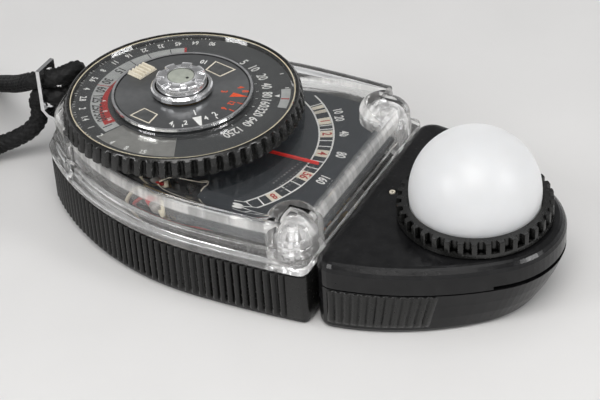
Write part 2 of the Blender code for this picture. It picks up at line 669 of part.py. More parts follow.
def knob():
    at = {"location": (DIAL_X, 0, 0)}
    collar = [
        (5.6 * MM, KNOB_BOTTOM),
        (KNOB_RADIUS - 0.25 * MM, KNOB_BOTTOM),
        (KNOB_RADIUS, KNOB_BOTTOM + 0.25 * MM),
        (KNOB_RADIUS, COLLAR_TOP - 0.3 * MM),
        (KNOB_RADIUS - 0.3 * MM, COLLAR_TOP),
        (5.6 * MM, COLLAR_TOP),
    ]
    lathe("lock_collar", collar, chrome(), 32, **at)
    flutes = toothed(FLUTE_RADIUS, FLUTE_RADIUS - 0.55 * MM, 8, 0.5, 0.14)
    stem = [(x * 1.5 / 5.2, y * 1.5 / 5.2) for x, y in flutes]
    sections = [
        (stem, 19.1 * MM),
        (stem, KNOB_BOTTOM),
        (flutes, KNOB_BOTTOM),
        (flutes, KNOB_TOP - 0.5 * MM),
        ([(x * 0.96, y * 0.96) for x, y in flutes], KNOB_TOP - 0.1 * MM),
        ([(x * 0.92, y * 0.92) for x, y in flutes], KNOB_TOP),
    ]
    button = loft("release_button", sections, chrome(), **at)
    combine(button, "recess", merge(upright(3.4 * MM, 31.3 * MM, 33 * MM, [(DIAL_X, 0)], 32)))
    cylinder("button_inlay", 3.1 * MM, 31.6 * MM, 31.95 * MM, inlay_paint(), 32, **at)
    turns, steps, radius = 4, 10, 2.6 * MM
    low, high = 22.6 * MM, 28.1 * MM
    route = []
    for i in range(turns * steps + 1):
        turn = 2 * pi * i / steps
        route.append((radius * cos(turn), radius * sin(turn), low + (high - low) * i / (turns * steps)))
    spring = tube("button_spring", route, 0.3 * MM, steel(), 1)
    spring.location = (DIAL_X, 0, 0)


# ---------------------------------------------------------------- head

def head_sections(levels):
    return [(head_outline(inset, joint_inset, draw_in), z * MM) for z, inset, joint_inset, draw_in in levels]


def head_lower():
    levels = [
        (0, 0.9 * MM, 0.6 * MM, 0.875),
        (0.3, 0.3 * MM, 0.2 * MM, 0.88),
        (1.0, 0, 0, 0.895),
        (4.0, 0, 0, 0.938),
        (7.0, 0, 0, 0.972),
        (10.1, 0, 0, 1.0),
    ]
    lower = loft("head_lower", head_sections(levels), black_plastic())
    wall = (2.2 * MM, 2.2 * MM)
    inside = head_sections([(1.9, *wall, 0.885), (7.0, *wall, 0.96), (11.2, *wall, 0.995)])
    combine(lower, "cavity", loft_data(inside))
    cup = moved(ring_data([(circle(r, 40), z * MM) for r, z in (
        (10.4 * MM, 1.2), (13.0 * MM, 1.2), (13.0 * MM, 7.1), (10.4 * MM, 7.1))]), (DOME_X, 0, 0))
    posts = upright(2.6 * MM, 1.2 * MM, HEAD_PARTING, HEAD_POSTS)
    combine(lower, "seat", merge([cup] + posts), "UNION")
    combine(lower, "holes", merge(upright(1.4 * MM, -1 * MM, 12 * MM, HEAD_POSTS, 16)))
    combine(lower, "heads", merge(upright(2.2 * MM, -1.5 * MM, 1.3 * MM, HEAD_POSTS, 16)))
    swivel = loft_data([(circle(SWIVEL_HOLE, 24), -1 * MM), (circle(SWIVEL_HOLE, 24), 5 * MM)])
    combine(lower, "swivel", swivel, location=(JOINT_X, 0, SWIVEL_Z), rotation=(0, pi / 2, 0))


def head_upper():
    levels = [
        (10.4, 0, 0, 1.0),
        (14.2, 0, 0, 1.0),
        (15.0, 0.3 * MM, 0.25 * MM, 1.0),
        (15.6, 0.85 * MM, 0.7 * MM, 1.0),
        (15.9, 1.4 * MM, 1.15 * MM, 1.0),
        (16.0, 2.0 * MM, 1.6 * MM, 1.0),
    ]
    upper = loft("head_upper", head_sections(levels), black_plastic())
    inside = head_sections([(9.4, 2.2 * MM, 2.2 * MM, 1.0), (14.0, 2.2 * MM, 2.2 * MM, 1.0)])
    combine(upper, "cavity", loft_data(inside))
    dome_place = [(DOME_X, 0)]
    guide = upright(14.0 * MM, 11.5 * MM, 15 * MM, dome_place, 40)
    guide += upright(2.6 * MM, 10.4 * MM, 15 * MM, HEAD_POSTS)
    combine(upper, "guide", merge(guide), "UNION")
    well = upright(11.2 * MM, 9 * MM, 18 * MM, dome_place, 40)
    well += upright(1.4 * MM, 9 * MM, 13.6 * MM, HEAD_POSTS, 16)
    combine(upper, "well", merge(well))
    combine(upper, "groove", merge(upright(13.1 * MM, 15.0 * MM, 17 * MM, dome_place, 40)))
    slot = box_outline((DOME_X, -14.5 * MM), (JOINT_X + HEAD_LENGTH + 2 * MM, 14.5 * MM))
    combine(upper, "slide_slot", loft_data([(slot, 9.9 * MM), (slot, 11.1 * MM)]))
    combine(upper, "dot", merge(upright(0.95 * MM, 15.6 * MM, 17 * MM, [(JOINT_X + 5.5 * MM, 0)], 16)))
    swivel = loft_data([(circle(SWIVEL_HOLE, 24), -1 * MM), (circle(SWIVEL_HOLE, 24), 5 * MM)])
    combine(upper, "swivel", swivel, location=(JOINT_X, 0, SWIVEL_Z), rotation=(0, pi / 2, 0))


def head_parts():
    for (x, y), label in zip(HEAD_POSTS, ("far", "near")):
        screw("head_screw_" + label, x, y, 0.1 * MM, 12.6 * MM, 1.9 * MM, 1.05 * MM, steel(), down=-1)
    place = (JOINT_X + 5.5 * MM, 0, 0)
    cylinder("index_dot", 0.75 * MM, 15.7 * MM, 16.05 * MM, opal_plastic(), 16, location=place)
    turned = {"location": (JOINT_X, 0, SWIVEL_Z), "rotation": (0, pi / 2, 0)}
    spindle = [(1.9 * MM, -6.4 * MM), (3.0 * MM, -6.4 * MM), (3.0 * MM, 5.6 * MM), (1.9 * MM, 5.6 * MM)]
    lathe("swivel_spindle", spindle, brass(), 24, **turned)
    for name, low, high in (("swivel_retainer", -4.0, -2.9), ("swivel_nut", 2.9, 4.4)):
        ring = [(3.3 * MM, low * MM), (4.9 * MM, low * MM), (4.9 * MM, high * MM), (3.3 * MM, high * MM)]
        lathe(name, ring, steel(), 24, **turned)
    at = {"location": (DOME_X, 0, 0)}
    contact = [(10.6 * MM, 7.4 * MM), (12.8 * MM, 7.4 * MM), (12.8 * MM, 7.9 * MM), (10.6 * MM, 7.9 * MM)]
    lathe("cell_contact_ring", contact, brass(), 32, **at)
    cylinder("photocell", 12.8 * MM, 8.2 * MM, 9.1 * MM, scale_paint(), 40, **at)
    holder = [(11.4 * MM, 9.4 * MM), (13.8 * MM, 9.4 * MM), (13.8 * MM, 9.8 * MM), (11.4 * MM, 9.8 * MM)]
    lathe("cell_retainer", holder, steel(), 32, **at)


def diffuser():
    """The bayonet spring ring and the dome with its notched ring."""
    at = {"location": (DOME_X, 0, 0)}
    spring = [(11.6 * MM, 15.3 * MM), (12.8 * MM, 15.3 * MM), (12.8 * MM, 15.7 * MM), (11.6 * MM, 15.7 * MM)]
    lathe("diffuser_spring_ring", spring, steel(), 32, **at)
    notch = (DOME_NOTCHES, 0.41, 0.04)
    rows = [
        (plain_like(13.2 * MM, *notch), 16.3 * MM),
        (plain_like(DOME_RING_RADIUS, *notch), 16.3 * MM),
        (plain_like(DOME_RING_RADIUS, *notch), 17.4 * MM),
        (toothed(DOME_RING_RADIUS, DOME_RING_RADIUS - 1.0 * MM, *notch), 17.45 * MM),
        (toothed(DOME_RING_RADIUS, DOME_RING_RADIUS - 1.0 * MM, *notch), 19.7 * MM),
        (plain_like(13.2 * MM, *notch), 19.7 * MM),
    ]
    add("diffuser_ring", *ring_data(rows), black_plastic(), **at)
    wall = 1.1 * MM
    profile = [(0, DOME_CENTRE_Z + DOME_RADIUS - wall)]
    for i in range(1, 9):
        turn = radians(90 - i * 12.0)
        profile.append(((DOME_RADIUS - wall) * cos(turn), DOME_CENTRE_Z + (DOME_RADIUS - wall) * sin(turn)))
    profile.append((11.75 * MM, 16.3 * MM))
    profile.append((12.9 * MM, 16.3 * MM))
    profile.append((12.9 * MM, 19.6 * MM))
    for i in range(8, 0, -1):
        turn = radians(90 - i * 11.9)
        profile.append((DOME_RADIUS * cos(turn), DOME_CENTRE_Z + DOME_RADIUS * sin(turn)))
    profile.append((0, DOME_CENTRE_Z + DOME_RADIUS))
    lathe("diffuser_dome", profile, opal_plastic(), 40, **at)


# ---------------------------------------------------------------- strap

CORD_ROUTE = [
    (-96.5, 20.4, 2.2), (-90.5, 19.6, 2.5), (-84.6, 16.8, 5.0), (-78.6, 12.0, 9.3), (-72.6, 7.0, 13.7),
    (-66.6, 2.2, 18.3), (-62.1, -0.2, 21.4), (-58.4, -0.1, 22.9), (-55.7, 0.4, 23.7), (-53.8, 1.9, 24.3),
    (-53.2, 3.9, 24.1), (-53.9, 5.3, 22.2), (-55.0, 4.7, 20.1), (-55.0, 2.1, 18.8), (-56.6, 0.2, 18.7),
    (-58.5, 0.0, 18.8), (-60.5, 0.0, 18.3), (-61.8, 0.2, 16.2), (-62.0, 0.6, 13.2), (-62.6, 0.3, 10.6),
    (-64.8, -0.7, 7.9), (-68.0, -1.9, 5.8), (-71.1, -3.0, 4.2), (-76.0, -4.0, 2.3),
]
COIL_CENTRE = (-106.0, -9.0)
COIL_MEAN_RADIUS = 21.0


def strap():
    """The neck cord looped through the lug, and its put-away length as one ring with a tie."""
    points = smooth_route([(x * MM, y * MM, z * MM) for x, y, z in CORD_ROUTE], 2.2 * MM)
    tube("strap_cord", points, CORD_RADIUS, braid())
    half = 5.8
    section = [
        (-half, 2.4), (-half + 1.2, 1.2), (half - 1.2, 1.2), (half, 2.4),
        (half, 8.0), (half - 1.2, 9.2), (-half + 1.2, 9.2), (-half, 8.0),
    ]
    profile = [((COIL_MEAN_RADIUS + r) * MM, z * MM) for r, z in section]
    lathe("strap_coil", profile, braid(), 32, location=(COIL_CENTRE[0] * MM, COIL_CENTRE[1] * MM, 0))
    rows = []
    corners = ((6.4, 0.8, 9.6, -2.5), (7.3, 0.1, 10.4, -2.5), (7.3, 0.1, 10.4, 2.5), (6.4, 0.8, 9.6, 2.5))
    for x, low, high, y in corners:
        rows.append((box_outline((-x * MM, low * MM), (x * MM, high * MM)), y * MM))
    place = ((COIL_CENTRE[0] - COIL_MEAN_RADIUS) * MM, COIL_CENTRE[1] * MM, 0)
    add("strap_tie", *ring_data(rows), black_plastic(), location=place, rotation=(pi / 2, 0, 0))


def main():
    for old in list(bpy.data.objects):
        bpy.data.objects.remove(old)
    case_base()
    rear_plate()
    clear_cover()
    case_screws()
    scale_plate()
    strap_lug()
    movement()
    electrics()
    needle_group()
    dial()
    knob()
    head_lower()
    head_upper()
    head_parts()
    diffuser()
    strap()


main()
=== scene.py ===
from math import atan2, cos, degrees, hypot, pi, radians, sin, sqrt

import bmesh
import bpy
import numpy as np
from mathutils import Matrix, Vector


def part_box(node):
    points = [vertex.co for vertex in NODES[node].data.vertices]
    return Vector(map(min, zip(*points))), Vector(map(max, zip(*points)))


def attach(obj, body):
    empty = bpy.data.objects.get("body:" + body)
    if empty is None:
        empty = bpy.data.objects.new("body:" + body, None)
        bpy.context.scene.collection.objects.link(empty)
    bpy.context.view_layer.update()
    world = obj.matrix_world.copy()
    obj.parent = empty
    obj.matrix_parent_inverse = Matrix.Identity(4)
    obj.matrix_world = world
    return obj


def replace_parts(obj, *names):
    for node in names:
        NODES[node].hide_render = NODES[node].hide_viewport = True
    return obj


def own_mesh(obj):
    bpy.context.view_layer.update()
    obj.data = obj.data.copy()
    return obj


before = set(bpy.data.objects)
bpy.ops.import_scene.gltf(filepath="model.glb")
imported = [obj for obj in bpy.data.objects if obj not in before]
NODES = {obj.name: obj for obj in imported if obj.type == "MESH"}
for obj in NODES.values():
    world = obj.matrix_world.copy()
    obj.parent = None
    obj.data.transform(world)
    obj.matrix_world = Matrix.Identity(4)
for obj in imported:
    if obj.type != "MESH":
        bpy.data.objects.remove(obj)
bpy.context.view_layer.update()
MM = 0.001

# Places that the frame gives, in metres
JOINT = 17.4 * MM
DIAL = Vector(((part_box("dial_ring")[0].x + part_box("dial_ring")[1].x) / 2, 0, 0))
DOME = Vector(((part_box("diffuser_dome")[0].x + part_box("diffuser_dome")[1].x) / 2, 0, 0))
BOSSES = [(JOINT - 5.95 * MM, 21.1 * MM), (JOINT - 5.95 * MM, -21.1 * MM)]
REAR_BOSSES = [(JOINT - 60 * MM, 13.5 * MM), (JOINT - 60 * MM, -13.5 * MM)]
PRINT_THICK = 0.02 * MM


def link(made):
    bpy.context.scene.collection.objects.link(made)
    return made


# ---- node materials

class Look:
    """A node material with one Principled shader, and short calls for its texture nodes."""

    def __init__(self, name, **sockets):
        self.material = bpy.data.materials.new(name)
        self.material.use_nodes = True
        self.tree = self.material.node_tree
        self.shader = self.tree.nodes["Principled BSDF"]
        self.output = self.tree.nodes["Material Output"]
        self.place = None
        for socket, value in sockets.items():
            self.shader.inputs[socket.replace("_", " ")].default_value = value

    def node(self, kind, links=None, **settings):
        made = self.tree.nodes.new("ShaderNode" + kind)
        for key, value in settings.items():
            setattr(made, key, value)
        for socket, source in (links or {}).items():
            self.feed(made.inputs[socket], source)
        return made

    def feed(self, socket, source):
        if isinstance(source, bpy.types.NodeSocket):
            self.tree.links.new(source, socket)
        else:
            socket.default_value = source

    def coordinates(self):
        if self.place is None:
            self.place = self.node("TexCoord").outputs["Object"]
        return self.place

    def noise(self, scale, detail=3.0, roughness=0.5, stretch=None):
        where = self.coordinates()
        if stretch is not None:
            where = self.node("Mapping", {"Vector": where, "Scale": stretch}).outputs[0]
        return self.node("TexNoise", {"Vector": where, "Scale": scale, "Detail": detail,
                                                "Roughness": roughness}).outputs["Fac"]

    def ramp(self, value, low, high, start=0.0, end=1.0):
        return self.node("MapRange", {"Value": value, "From Min": low, "From Max": high,
                                                "To Min": start, "To Max": end}).outputs[0]

    def mix(self, factor, first, second):
        made = self.node("Mix", {"Factor": factor}, data_type="RGBA")
        for socket, value in ((made.inputs[6], first), (made.inputs[7], second)):
            self.feed(socket, value if isinstance(value, bpy.types.NodeSocket) else (*value, 1))
        return made.outputs[2]

    def maths(self, operation, first, second=0.0):
        return self.node("Math", {0: first, 1: second}, operation=operation).outputs[0]

    def product(self, first, second):
        return self.maths("MULTIPLY", first, second)

    def vectors(self, operation, first, second=(0, 0, 0)):
        """The node of a vector sum, whose outputs are Vector and Value."""
        return self.node("VectorMath", {0: first, 1: second}, operation=operation)

    def set(self, socket, source):
        self.tree.links.new(source, self.shader.inputs[socket])
        return self

    def bump(self, height, strength=0.3, distance=0.00005):
        made = self.node("Bump", {"Height": height, "Strength": strength, "Distance": distance})
        return self.set("Normal", made.outputs[0])

    def vary(self, colour, other, scale=900.0, low=0.35, high=0.65, detail=4.0):
        """Colour that drifts between two near shades."""
        place = self.ramp(self.noise(scale, detail), low, high)
        return self.set("Base Color", self.mix(place, colour, other))

    def rough(self, smooth, dull, scale=1200.0, low=0.3, high=0.7):
        return self.set("Roughness", self.ramp(self.noise(scale, 5.0, 0.6), low, high, smooth, dull))

    def flow_marks_and_highlight(self, walls, posts, inner):
        """Whitish marks on a clear moulding, part flow marks and part painted highlight: faint in the walls,
        streaky in the posts, and a brighter painted highlight band on the inner wall where light comes
        through the rounded roof edge.
        """
        x, y, z = self.node("SeparateXYZ", {0: self.coordinates()}).outputs
        along = self.maths("SUBTRACT", x, BOSSES[0][0])
        across = self.maths("SUBTRACT", self.maths("ABSOLUTE", y), BOSSES[0][1])
        squares = self.maths("ADD", *(self.product(part, part) for part in (along, across)))
        amount = self.ramp(squares, 26e-6, 29e-6, posts, walls)
        shape = self.node("NewGeometry").outputs
        arm = self.vectors("SUBTRACT", self.coordinates(), (DIAL.x, 0, 0))
        facing = self.vectors("DOT_PRODUCT", shape["Normal"], arm.outputs[0])
        side = self.product(facing.outputs["Value"], self.ramp(shape["Backfacing"], 0, 1, 1, -1))
        # painted highlight: a white band on the inner wall facing the dial, standing in for light through the
        # rounded edge of the roof
        inside = self.product(self.ramp(side, -0.002, -0.008), self.ramp(z, 0.0187, 0.0193))
        amount = self.maths("MAXIMUM", amount, self.product(inside, inner))
        streaks = self.ramp(self.noise(300, 3.0, 0.6, (1, 1, 0.05)), 0.4, 0.6, 0.55, 1.0)
        amount = self.product(amount, streaks)
        amount = self.product(amount, self.ramp(z, 0.0208, 0.0214, 1, 0))
        through, back = (self.node(kind, {"Color": (0.95, 0.94, 0.92, 1)}).outputs[0]
                         for kind in ("BsdfTranslucent", "BsdfDiffuse"))
        white = self.node("AddShader", {0: through, 1: back}).outputs[0]
        return self.node("MixShader", {0: amount, 1: self.shader.outputs[0], 2: white}).outputs[0]

    def shadow_clear(self, marks=None, tint=(0.94, 0.94, 0.94)):
        """Lets light through to what lies under a clear piece, so that its shadow is only a tint."""
        surface = self.flow_marks_and_highlight(*marks) if marks else self.shader.outputs[0]
        path = self.node("LightPath")
        clear = self.node("BsdfTransparent", {"Color": (*tint, 1)})
        either = self.maths("MAXIMUM", path.outputs["Is Shadow Ray"], path.outputs["Is Diffuse Ray"])
        mixed = self.node("MixShader", {0: either, 1: surface, 2: clear.outputs[0]})
        self.tree.links.new(mixed.outputs[0], self.output.inputs["Surface"])
        return self


def black_moulding(name, smooth, dull, grain=0.25):
    look = Look(name, IOR=1.5, Specular_IOR_Level=0.32)
    look.vary((0.0045, 0.0045, 0.005), (0.009, 0.009, 0.0095), 400)
    look.rough(smooth, dull, 1500)
    height = look.maths("ADD", look.noise(5200, 3.0), look.noise(260, 2.0))
    return look.bump(height, grain, 0.00003).material


def groove_shaded_moulding(name, shine, smooth, reach):
    """Black moulding with painted shade: ambient occlusion paints its grooves darker and less shiny than its
    ridges.
    """
    look = Look(name, IOR=1.5)
    occluded = look.node("AmbientOcclusion", {"Distance": reach}, samples=16, only_local=True)
    unshaded_share = look.ramp(occluded.outputs["AO"], 0.68, 0.96)
    # painted shade: darker base colour and lower specular where ambient occlusion finds a groove
    look.set("Base Color", look.mix(unshaded_share, (0.001, 0.001, 0.001), (0.010, 0.010, 0.0095)))
    look.set("Specular IOR Level", look.product(unshaded_share, shine))
    look.set("Roughness", look.ramp(look.noise(1500, 5.0), 0.3, 0.7, smooth, smooth + 0.14))
    return look.bump(look.noise(5200, 3.0), 0.05, 0.00001).material


def turned_print(name, colour, other, shine):
    """Printed metal disc turned about the dial's axis, so that light makes a fan across it."""
    look = Look(name, Metallic=shine, Anisotropic=0.85, Roughness=0.36, Specular_IOR_Level=0.5)
    look.vary(colour, other, 700)
    arm = look.vectors("SUBTRACT", look.coordinates(), tuple(DIAL))
    along = look.vectors("CROSS_PRODUCT", (0, 0, 1), arm.outputs[0])
    world = look.node("VectorTransform", {0: along.outputs[0]}, vector_type="VECTOR",
                      convert_from="OBJECT", convert_to="WORLD")
    look.set("Tangent", look.vectors("NORMALIZE", world.outputs[0]).outputs[0])
    return look.bump(look.noise(4200, 4.0), 0.08, 0.00002).material


def banded(name, body, stripe, place, turn):
    """A small part's colour with one painted stripe across it."""
    look = Look(name, Roughness=0.4)
    spot = look.vectors("SUBTRACT", look.coordinates(), place)
    along = look.vectors("DOT_PRODUCT", spot.outputs[0], (cos(turn), sin(turn), 0))
    off = look.maths("ABSOLUTE", along.outputs["Value"])
    speckled = look.mix(look.noise(1500), body, tuple(c * 0.6 for c in body))
    return look.set("Base Color", look.mix(look.maths("LESS_THAN", off, 1.1 * MM), speckled, stripe)).material


def clear_moulding(name, tint, rough=0.03, worn=0.1, marks=None):
    look = Look(name, IOR=1.49, Transmission_Weight=1.0)
    look.vary(tint, tuple(c * 0.985 for c in tint), 300)
    scratch = look.noise(900, 6.0, 0.75, (1.0, 0.06, 1.0))
    look.set("Roughness", look.ramp(scratch, 0.55, 0.8, rough, rough + worn))
    look.bump(look.maths("ADD", look.noise(120, 1.0), scratch), 0.05, 0.00004)
    return look.shadow_clear(marks).material


def plated(name, colour, smooth, dull, brushed=None):
    look = Look(name, Metallic=1.0)
    look.vary(colour, tuple(c * 0.86 for c in colour), 500)
    look.rough(smooth, dull, 900)
    return look.bump(look.noise(2400, 3.0, 0.5, brushed), 0.10, 0.00002).material


def printed(name, colour, other, rough=0.45, metallic=0.0):
    look = Look(name, Metallic=metallic, Specular_IOR_Level=0.3)
    look.vary(colour, other, 700)
    look.rough(rough - 0.08, rough + 0.12, 1500)
    return look.bump(look.noise(4200, 4.0), 0.12, 0.00002).material


def opal(name):
    look = Look(name, IOR=1.49, Subsurface_Weight=0.8, Subsurface_Scale=0.006, Sheen_Weight=0.45,
                Sheen_Roughness=0.6)
    look.shader.inputs["Subsurface Radius"].default_value = (1.0, 0.95, 0.9)
    look.vary((0.82, 0.815, 0.82), (0.80, 0.795, 0.795), 120)
    look.rough(0.30, 0.42, 700)
    return look.bump(look.noise(900, 3.0), 0.05, 0.00003).material


def woven(name, colour, other):
    look = Look(name, Sheen_Weight=0.02, Sheen_Roughness=0.4, Specular_IOR_Level=0.3)
    look.vary(colour, other, 2600, 0.4, 0.6, 6.0)
    look.rough(0.5, 0.7, 3000)
    return look.bump(look.noise(9000, 5.0, 0.7), 0.4, 0.00005).material


LOOKS = {
    "case": black_moulding("case_black", 0.2, 0.34),
    "head": black_moulding("head_black", 0.14, 0.28, 0.12),
    # ribs and dial ring carry painted shade in their grooves
    "ribs": groove_shaded_moulding("rib_black_groove_shade", 0.42, 0.16, 1.0 * MM),
    "ring": groove_shaded_moulding("ring_black_groove_shade", 0.5, 0.16, 0.7 * MM),
    # cover marks: walls and posts mix flow marks with painted highlight; the third value is a painted
    # highlight band on the inner wall
    "cover": clear_moulding("window_clear", (0.992, 0.994, 0.992), 0.012, 0.05, (0.05, 0.15, 0.5)),
    "disc": clear_moulding("disc_clear", (0.95, 0.955, 0.95), 0.05),
    "plate": printed("plate_print", (0.018, 0.022, 0.027), (0.023, 0.027, 0.032), 0.5),
    "dial": turned_print("dial_print", (0.05, 0.053, 0.055), (0.06, 0.062, 0.064), 0.45),
    "speed": turned_print("speed_print", (0.15, 0.155, 0.158), (0.17, 0.173, 0.176), 0.8),
    "white": printed("white_ink", (0.78, 0.78, 0.76), (0.68, 0.68, 0.66), 0.6),
    "grey": printed("grey_ink", (0.42, 0.43, 0.42), (0.36, 0.37, 0.365), 0.5),
    "small": printed("small_print", (0.2, 0.2, 0.2), (0.07, 0.07, 0.07), 0.5),
    "window_grey": printed("window_grey", (0.06, 0.062, 0.062), (0.09, 0.09, 0.09), 0.35),
    "black": printed("black_ink", (0.02, 0.02, 0.02), (0.03, 0.03, 0.03), 0.6),
    "red": printed("red_ink", (0.42, 0.02, 0.018), (0.34, 0.025, 0.02), 0.55),
    "orange": printed("orange_ink", (0.72, 0.09, 0.03), (0.62, 0.08, 0.03), 0.55),
    "needle": printed("needle_red", (0.85, 0.02, 0.015), (0.75, 0.03, 0.02), 0.5),
    "cream": printed("cream_plastic", (0.72, 0.67, 0.56), (0.62, 0.57, 0.46), 0.5),
    "silver": plated("silver_print", (0.66, 0.65, 0.62), 0.3, 0.38, (0.2, 0.2, 1.0)),
    "chrome": plated("chrome_plate", (0.84, 0.84, 0.85), 0.08, 0.18),
    "satin": plated("satin_chrome", (0.88, 0.88, 0.89), 0.16, 0.26),
    "steel": plated("turned_steel", (0.55, 0.55, 0.56), 0.24, 0.4, (1.0, 1.0, 0.05)),
    "brass": plated("turned_brass", (0.74, 0.53, 0.22), 0.22, 0.38, (1.0, 1.0, 0.05)),
    "copper": plated("copper_wire", (0.72, 0.33, 0.17), 0.28, 0.45),
    "inlay": printed("inlay_grey_green", (0.36, 0.38, 0.33), (0.3, 0.32, 0.28), 0.5),
    "opal": opal("dome_opal"),
    "cord": woven("black_braid", (0.0012, 0.0012, 0.0014), (0.006, 0.006, 0.0062)),
    # painted highlight for the edge of the plate's opening
    "lip": printed("lip_painted_highlight", (0.85, 0.80, 0.70), (0.72, 0.64, 0.5), 0.3, 0.3),
    "wire": printed("wire_sleeve", (0.62, 0.56, 0.42), (0.5, 0.44, 0.32), 0.5),
    "resistor": banded("resistor_body", (0.32, 0.30, 0.28), (0.55, 0.02, 0.02),
                       tuple(sum(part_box("calibration_resistor"), Vector()) / 2), -0.72),
    "cell": printed("cell_face", (0.05, 0.045, 0.055), (0.07, 0.06, 0.07), 0.3, 0.5),
    "magnet": printed("magnet_grey", (0.09, 0.09, 0.092), (0.13, 0.13, 0.13), 0.5, 0.6),
}


# ---- shapes

def solid_mesh(name, data):
    """A mesh whose faces all point outwards."""
    vertices, faces = data
    mesh = bpy.data.meshes.new(name)
    mesh.from_pydata([tuple(v) for v in vertices], [], [tuple(f) for f in faces])
    work = bmesh.new()
    work.from_mesh(mesh)
    bmesh.ops.recalc_face_normals(work, faces=work.faces)
    work.to_mesh(mesh)
    work.free()
    return mesh


def piece(name, data, look, body, location=(0, 0, 0), rotation=(0, 0, 0), sharp=32):
    """A closed mesh piece that rides on a body."""
    mesh = solid_mesh(name, data)
    mesh.shade_smooth()
    mesh.set_sharp_from_angle(angle=radians(sharp))
    made = bpy.data.objects.new(name, mesh)
    made.location = location
    made.rotation_euler = rotation
    mesh.materials.append(LOOKS[look])
    link(made)
    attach(made, body)
    return made


def loft_data(sections, ring=False):
    """Outlines joined one after another, with capped ends or, in a ring, the last joined to the first."""
    count, levels = len(sections[0][0]), len(sections)
    vertices = [(x, y, z) for outline, z in sections for x, y in outline]
    faces = [] if ring else [list(range(count)), [(levels - 1) * count + i for i in reversed(range(count))]]
    for level in range(levels if ring else levels - 1):
        low, high = level * count, (level + 1) % levels * count
        for i in range(count):
            j = (i + 1) % count
            a, b = (i, j) if ring else (j, i)
            faces.append((low + a, low + b, high + b, high + a))
    return vertices, faces


def mm(*points):
    """Points given in millimetres."""
    return [tuple(value * MM for value in point) for point in points]


def circle(radius, count):
    return [(radius * cos(t), radius * sin(t)) for t in (2 * pi * i / count for i in range(count))]


def lathe_data(profile, count):
    """A profile of (radius, z) turned about Z. It is a ring when no point lies on the axis."""
    vertices, rows = [], []
    for radius, z in profile:
        if radius == 0:
            rows.append([len(vertices)] * count)
            vertices.append((0, 0, z))
        else:
            rows.append([len(vertices) + i for i in range(count)])
            vertices += [(x, y, z) for x, y in circle(radius, count)]
    on_axis = profile[0][0] == 0
    pairs = list(zip(rows, rows[1:])) if on_axis else list(zip(rows, rows[1:] + rows[:1]))
    faces = []
    for lower, upper in pairs:
        for i in range(count):
            j = (i + 1) % count
            corners = []
            for corner in (lower[i], lower[j], upper[j], upper[i]):
                if corner not in corners:
                    corners.append(corner)
            if len(corners) > 2:
                faces.append(corners)
    return vertices, faces


def merge(parts):
    vertices, faces = [], []
    for some_vertices, some_faces in parts:
        start = len(vertices)
        vertices += list(some_vertices)
        faces += [[start + i for i in face] for face in some_faces]
    return vertices, faces


def shifted(data, x, y, z=0.0):
    vertices, faces = data
    return [(a + x, b + y, c + z) for a, b, c in vertices], faces


def polar(radius, angle):
    return radius * cos(radians(angle)), radius * sin(radians(angle))


def flat(outline, z, thick=PRINT_THICK):
    """A thin printed patch."""
    return loft_data([(outline, z), (outline, z + thick)])


def band(inner, outer, start, end, z, thick=PRINT_THICK):
    """A printed piece of a ring, angles in degrees. Radii are in mm and may be functions of 0 to 1."""
    steps = max(2, int(abs(end - start) / 2))
    first = inner if callable(inner) else lambda t: inner
    second = outer if callable(outer) else lambda t: outer
    places = [i / steps for i in range(steps + 1)]
    outline = [polar(second(t) * MM, start + (end - start) * t) for t in places]
    outline += [polar(first(t) * MM, start + (end - start) * t) for t in reversed(places)]
    top = len(outline)
    vertices = [(x, y, z) for x, y in outline] + [(x, y, z + thick) for x, y in outline]
    faces = []
    half = steps + 1
    for i in range(steps):
        a, b, c, d = i, i + 1, top - 2 - i, top - 1 - i
        faces.append((a, b, c, d))
        faces.append((d + top, c + top, b + top, a + top))
    for i in range(top):
        j = (i + 1) % top
        faces.append((j, i, i + top, j + top))
    return vertices, faces


def stroke(start, end, width, z, thick=PRINT_THICK):
    """A printed straight line."""
    ax, ay = start
    bx, by = end
    long = hypot(bx - ax, by - ay)
    nx, ny = -(by - ay) / long * width / 2, (bx - ax) / long * width / 2
    return flat([(ax + nx, ay + ny), (ax - nx, ay - ny), (bx - nx, by - ny), (bx + nx, by + ny)], z, thick)


def evaluated(made, placed=Matrix()):
    """The vertices and faces of an object as its curve or its modifiers make it."""
    bpy.context.view_layer.update()
    shape = made.evaluated_get(bpy.context.evaluated_depsgraph_get())
    mesh = shape.to_mesh()
    result = [tuple(placed @ v.co) for v in mesh.vertices], [tuple(p.vertices) for p in mesh.polygons]
    shape.to_mesh_clear()
    return result


def lettering(text, size, x, y, turn, z, thick=PRINT_THICK, wide=1.0):
    """Numerals as thin closed shapes, centred on a place and turned by an angle in degrees."""
    curve = bpy.data.curves.new("numeral", "FONT")
    curve.body = text
    curve.size = size
    curve.align_x = "CENTER"
    curve.align_y = "CENTER"
    curve.extrude = thick / 2
    curve.resolution_u = 3
    curve.offset = size * 0.018
    made = link(bpy.data.objects.new("numeral", curve))
    turned = Matrix.Translation((x, y, z + thick / 2)) @ Matrix.Rotation(radians(turn), 4, "Z")
    turned = turned @ Matrix.Diagonal((wide, 1, 1, 1))
    vertices, faces = evaluated(made, turned)
    bpy.data.objects.remove(made)
    bpy.data.curves.remove(curve)
    work = bmesh.new()
    added = [work.verts.new(v) for v in vertices]
    for face in faces:
        if len(set(face)) > 2:
            work.faces.new([added[i] for i in face])
    bmesh.ops.remove_doubles(work, verts=work.verts, dist=1e-7)
    work.verts.index_update()
    result = [tuple(v.co) for v in work.verts], [tuple(v.index for v in f.verts) for f in work.faces]
    work.free()
    return result


def around(text, size, radius, angle, z, outward=True, wide=0.85):
    """A numeral on a ring, in millimetres, its top pointing away from the centre or towards it."""
    x, y = polar(radius * MM, angle)
    return lettering(text, size * MM, x, y, angle - 90 if outward else angle + 90, z, wide=wide)


def tick(start, end, angle, width, z):
    """A printed line along a radius, in millimetres."""
    return stroke(polar(start * MM, angle), polar(end * MM, angle), width * MM, z)


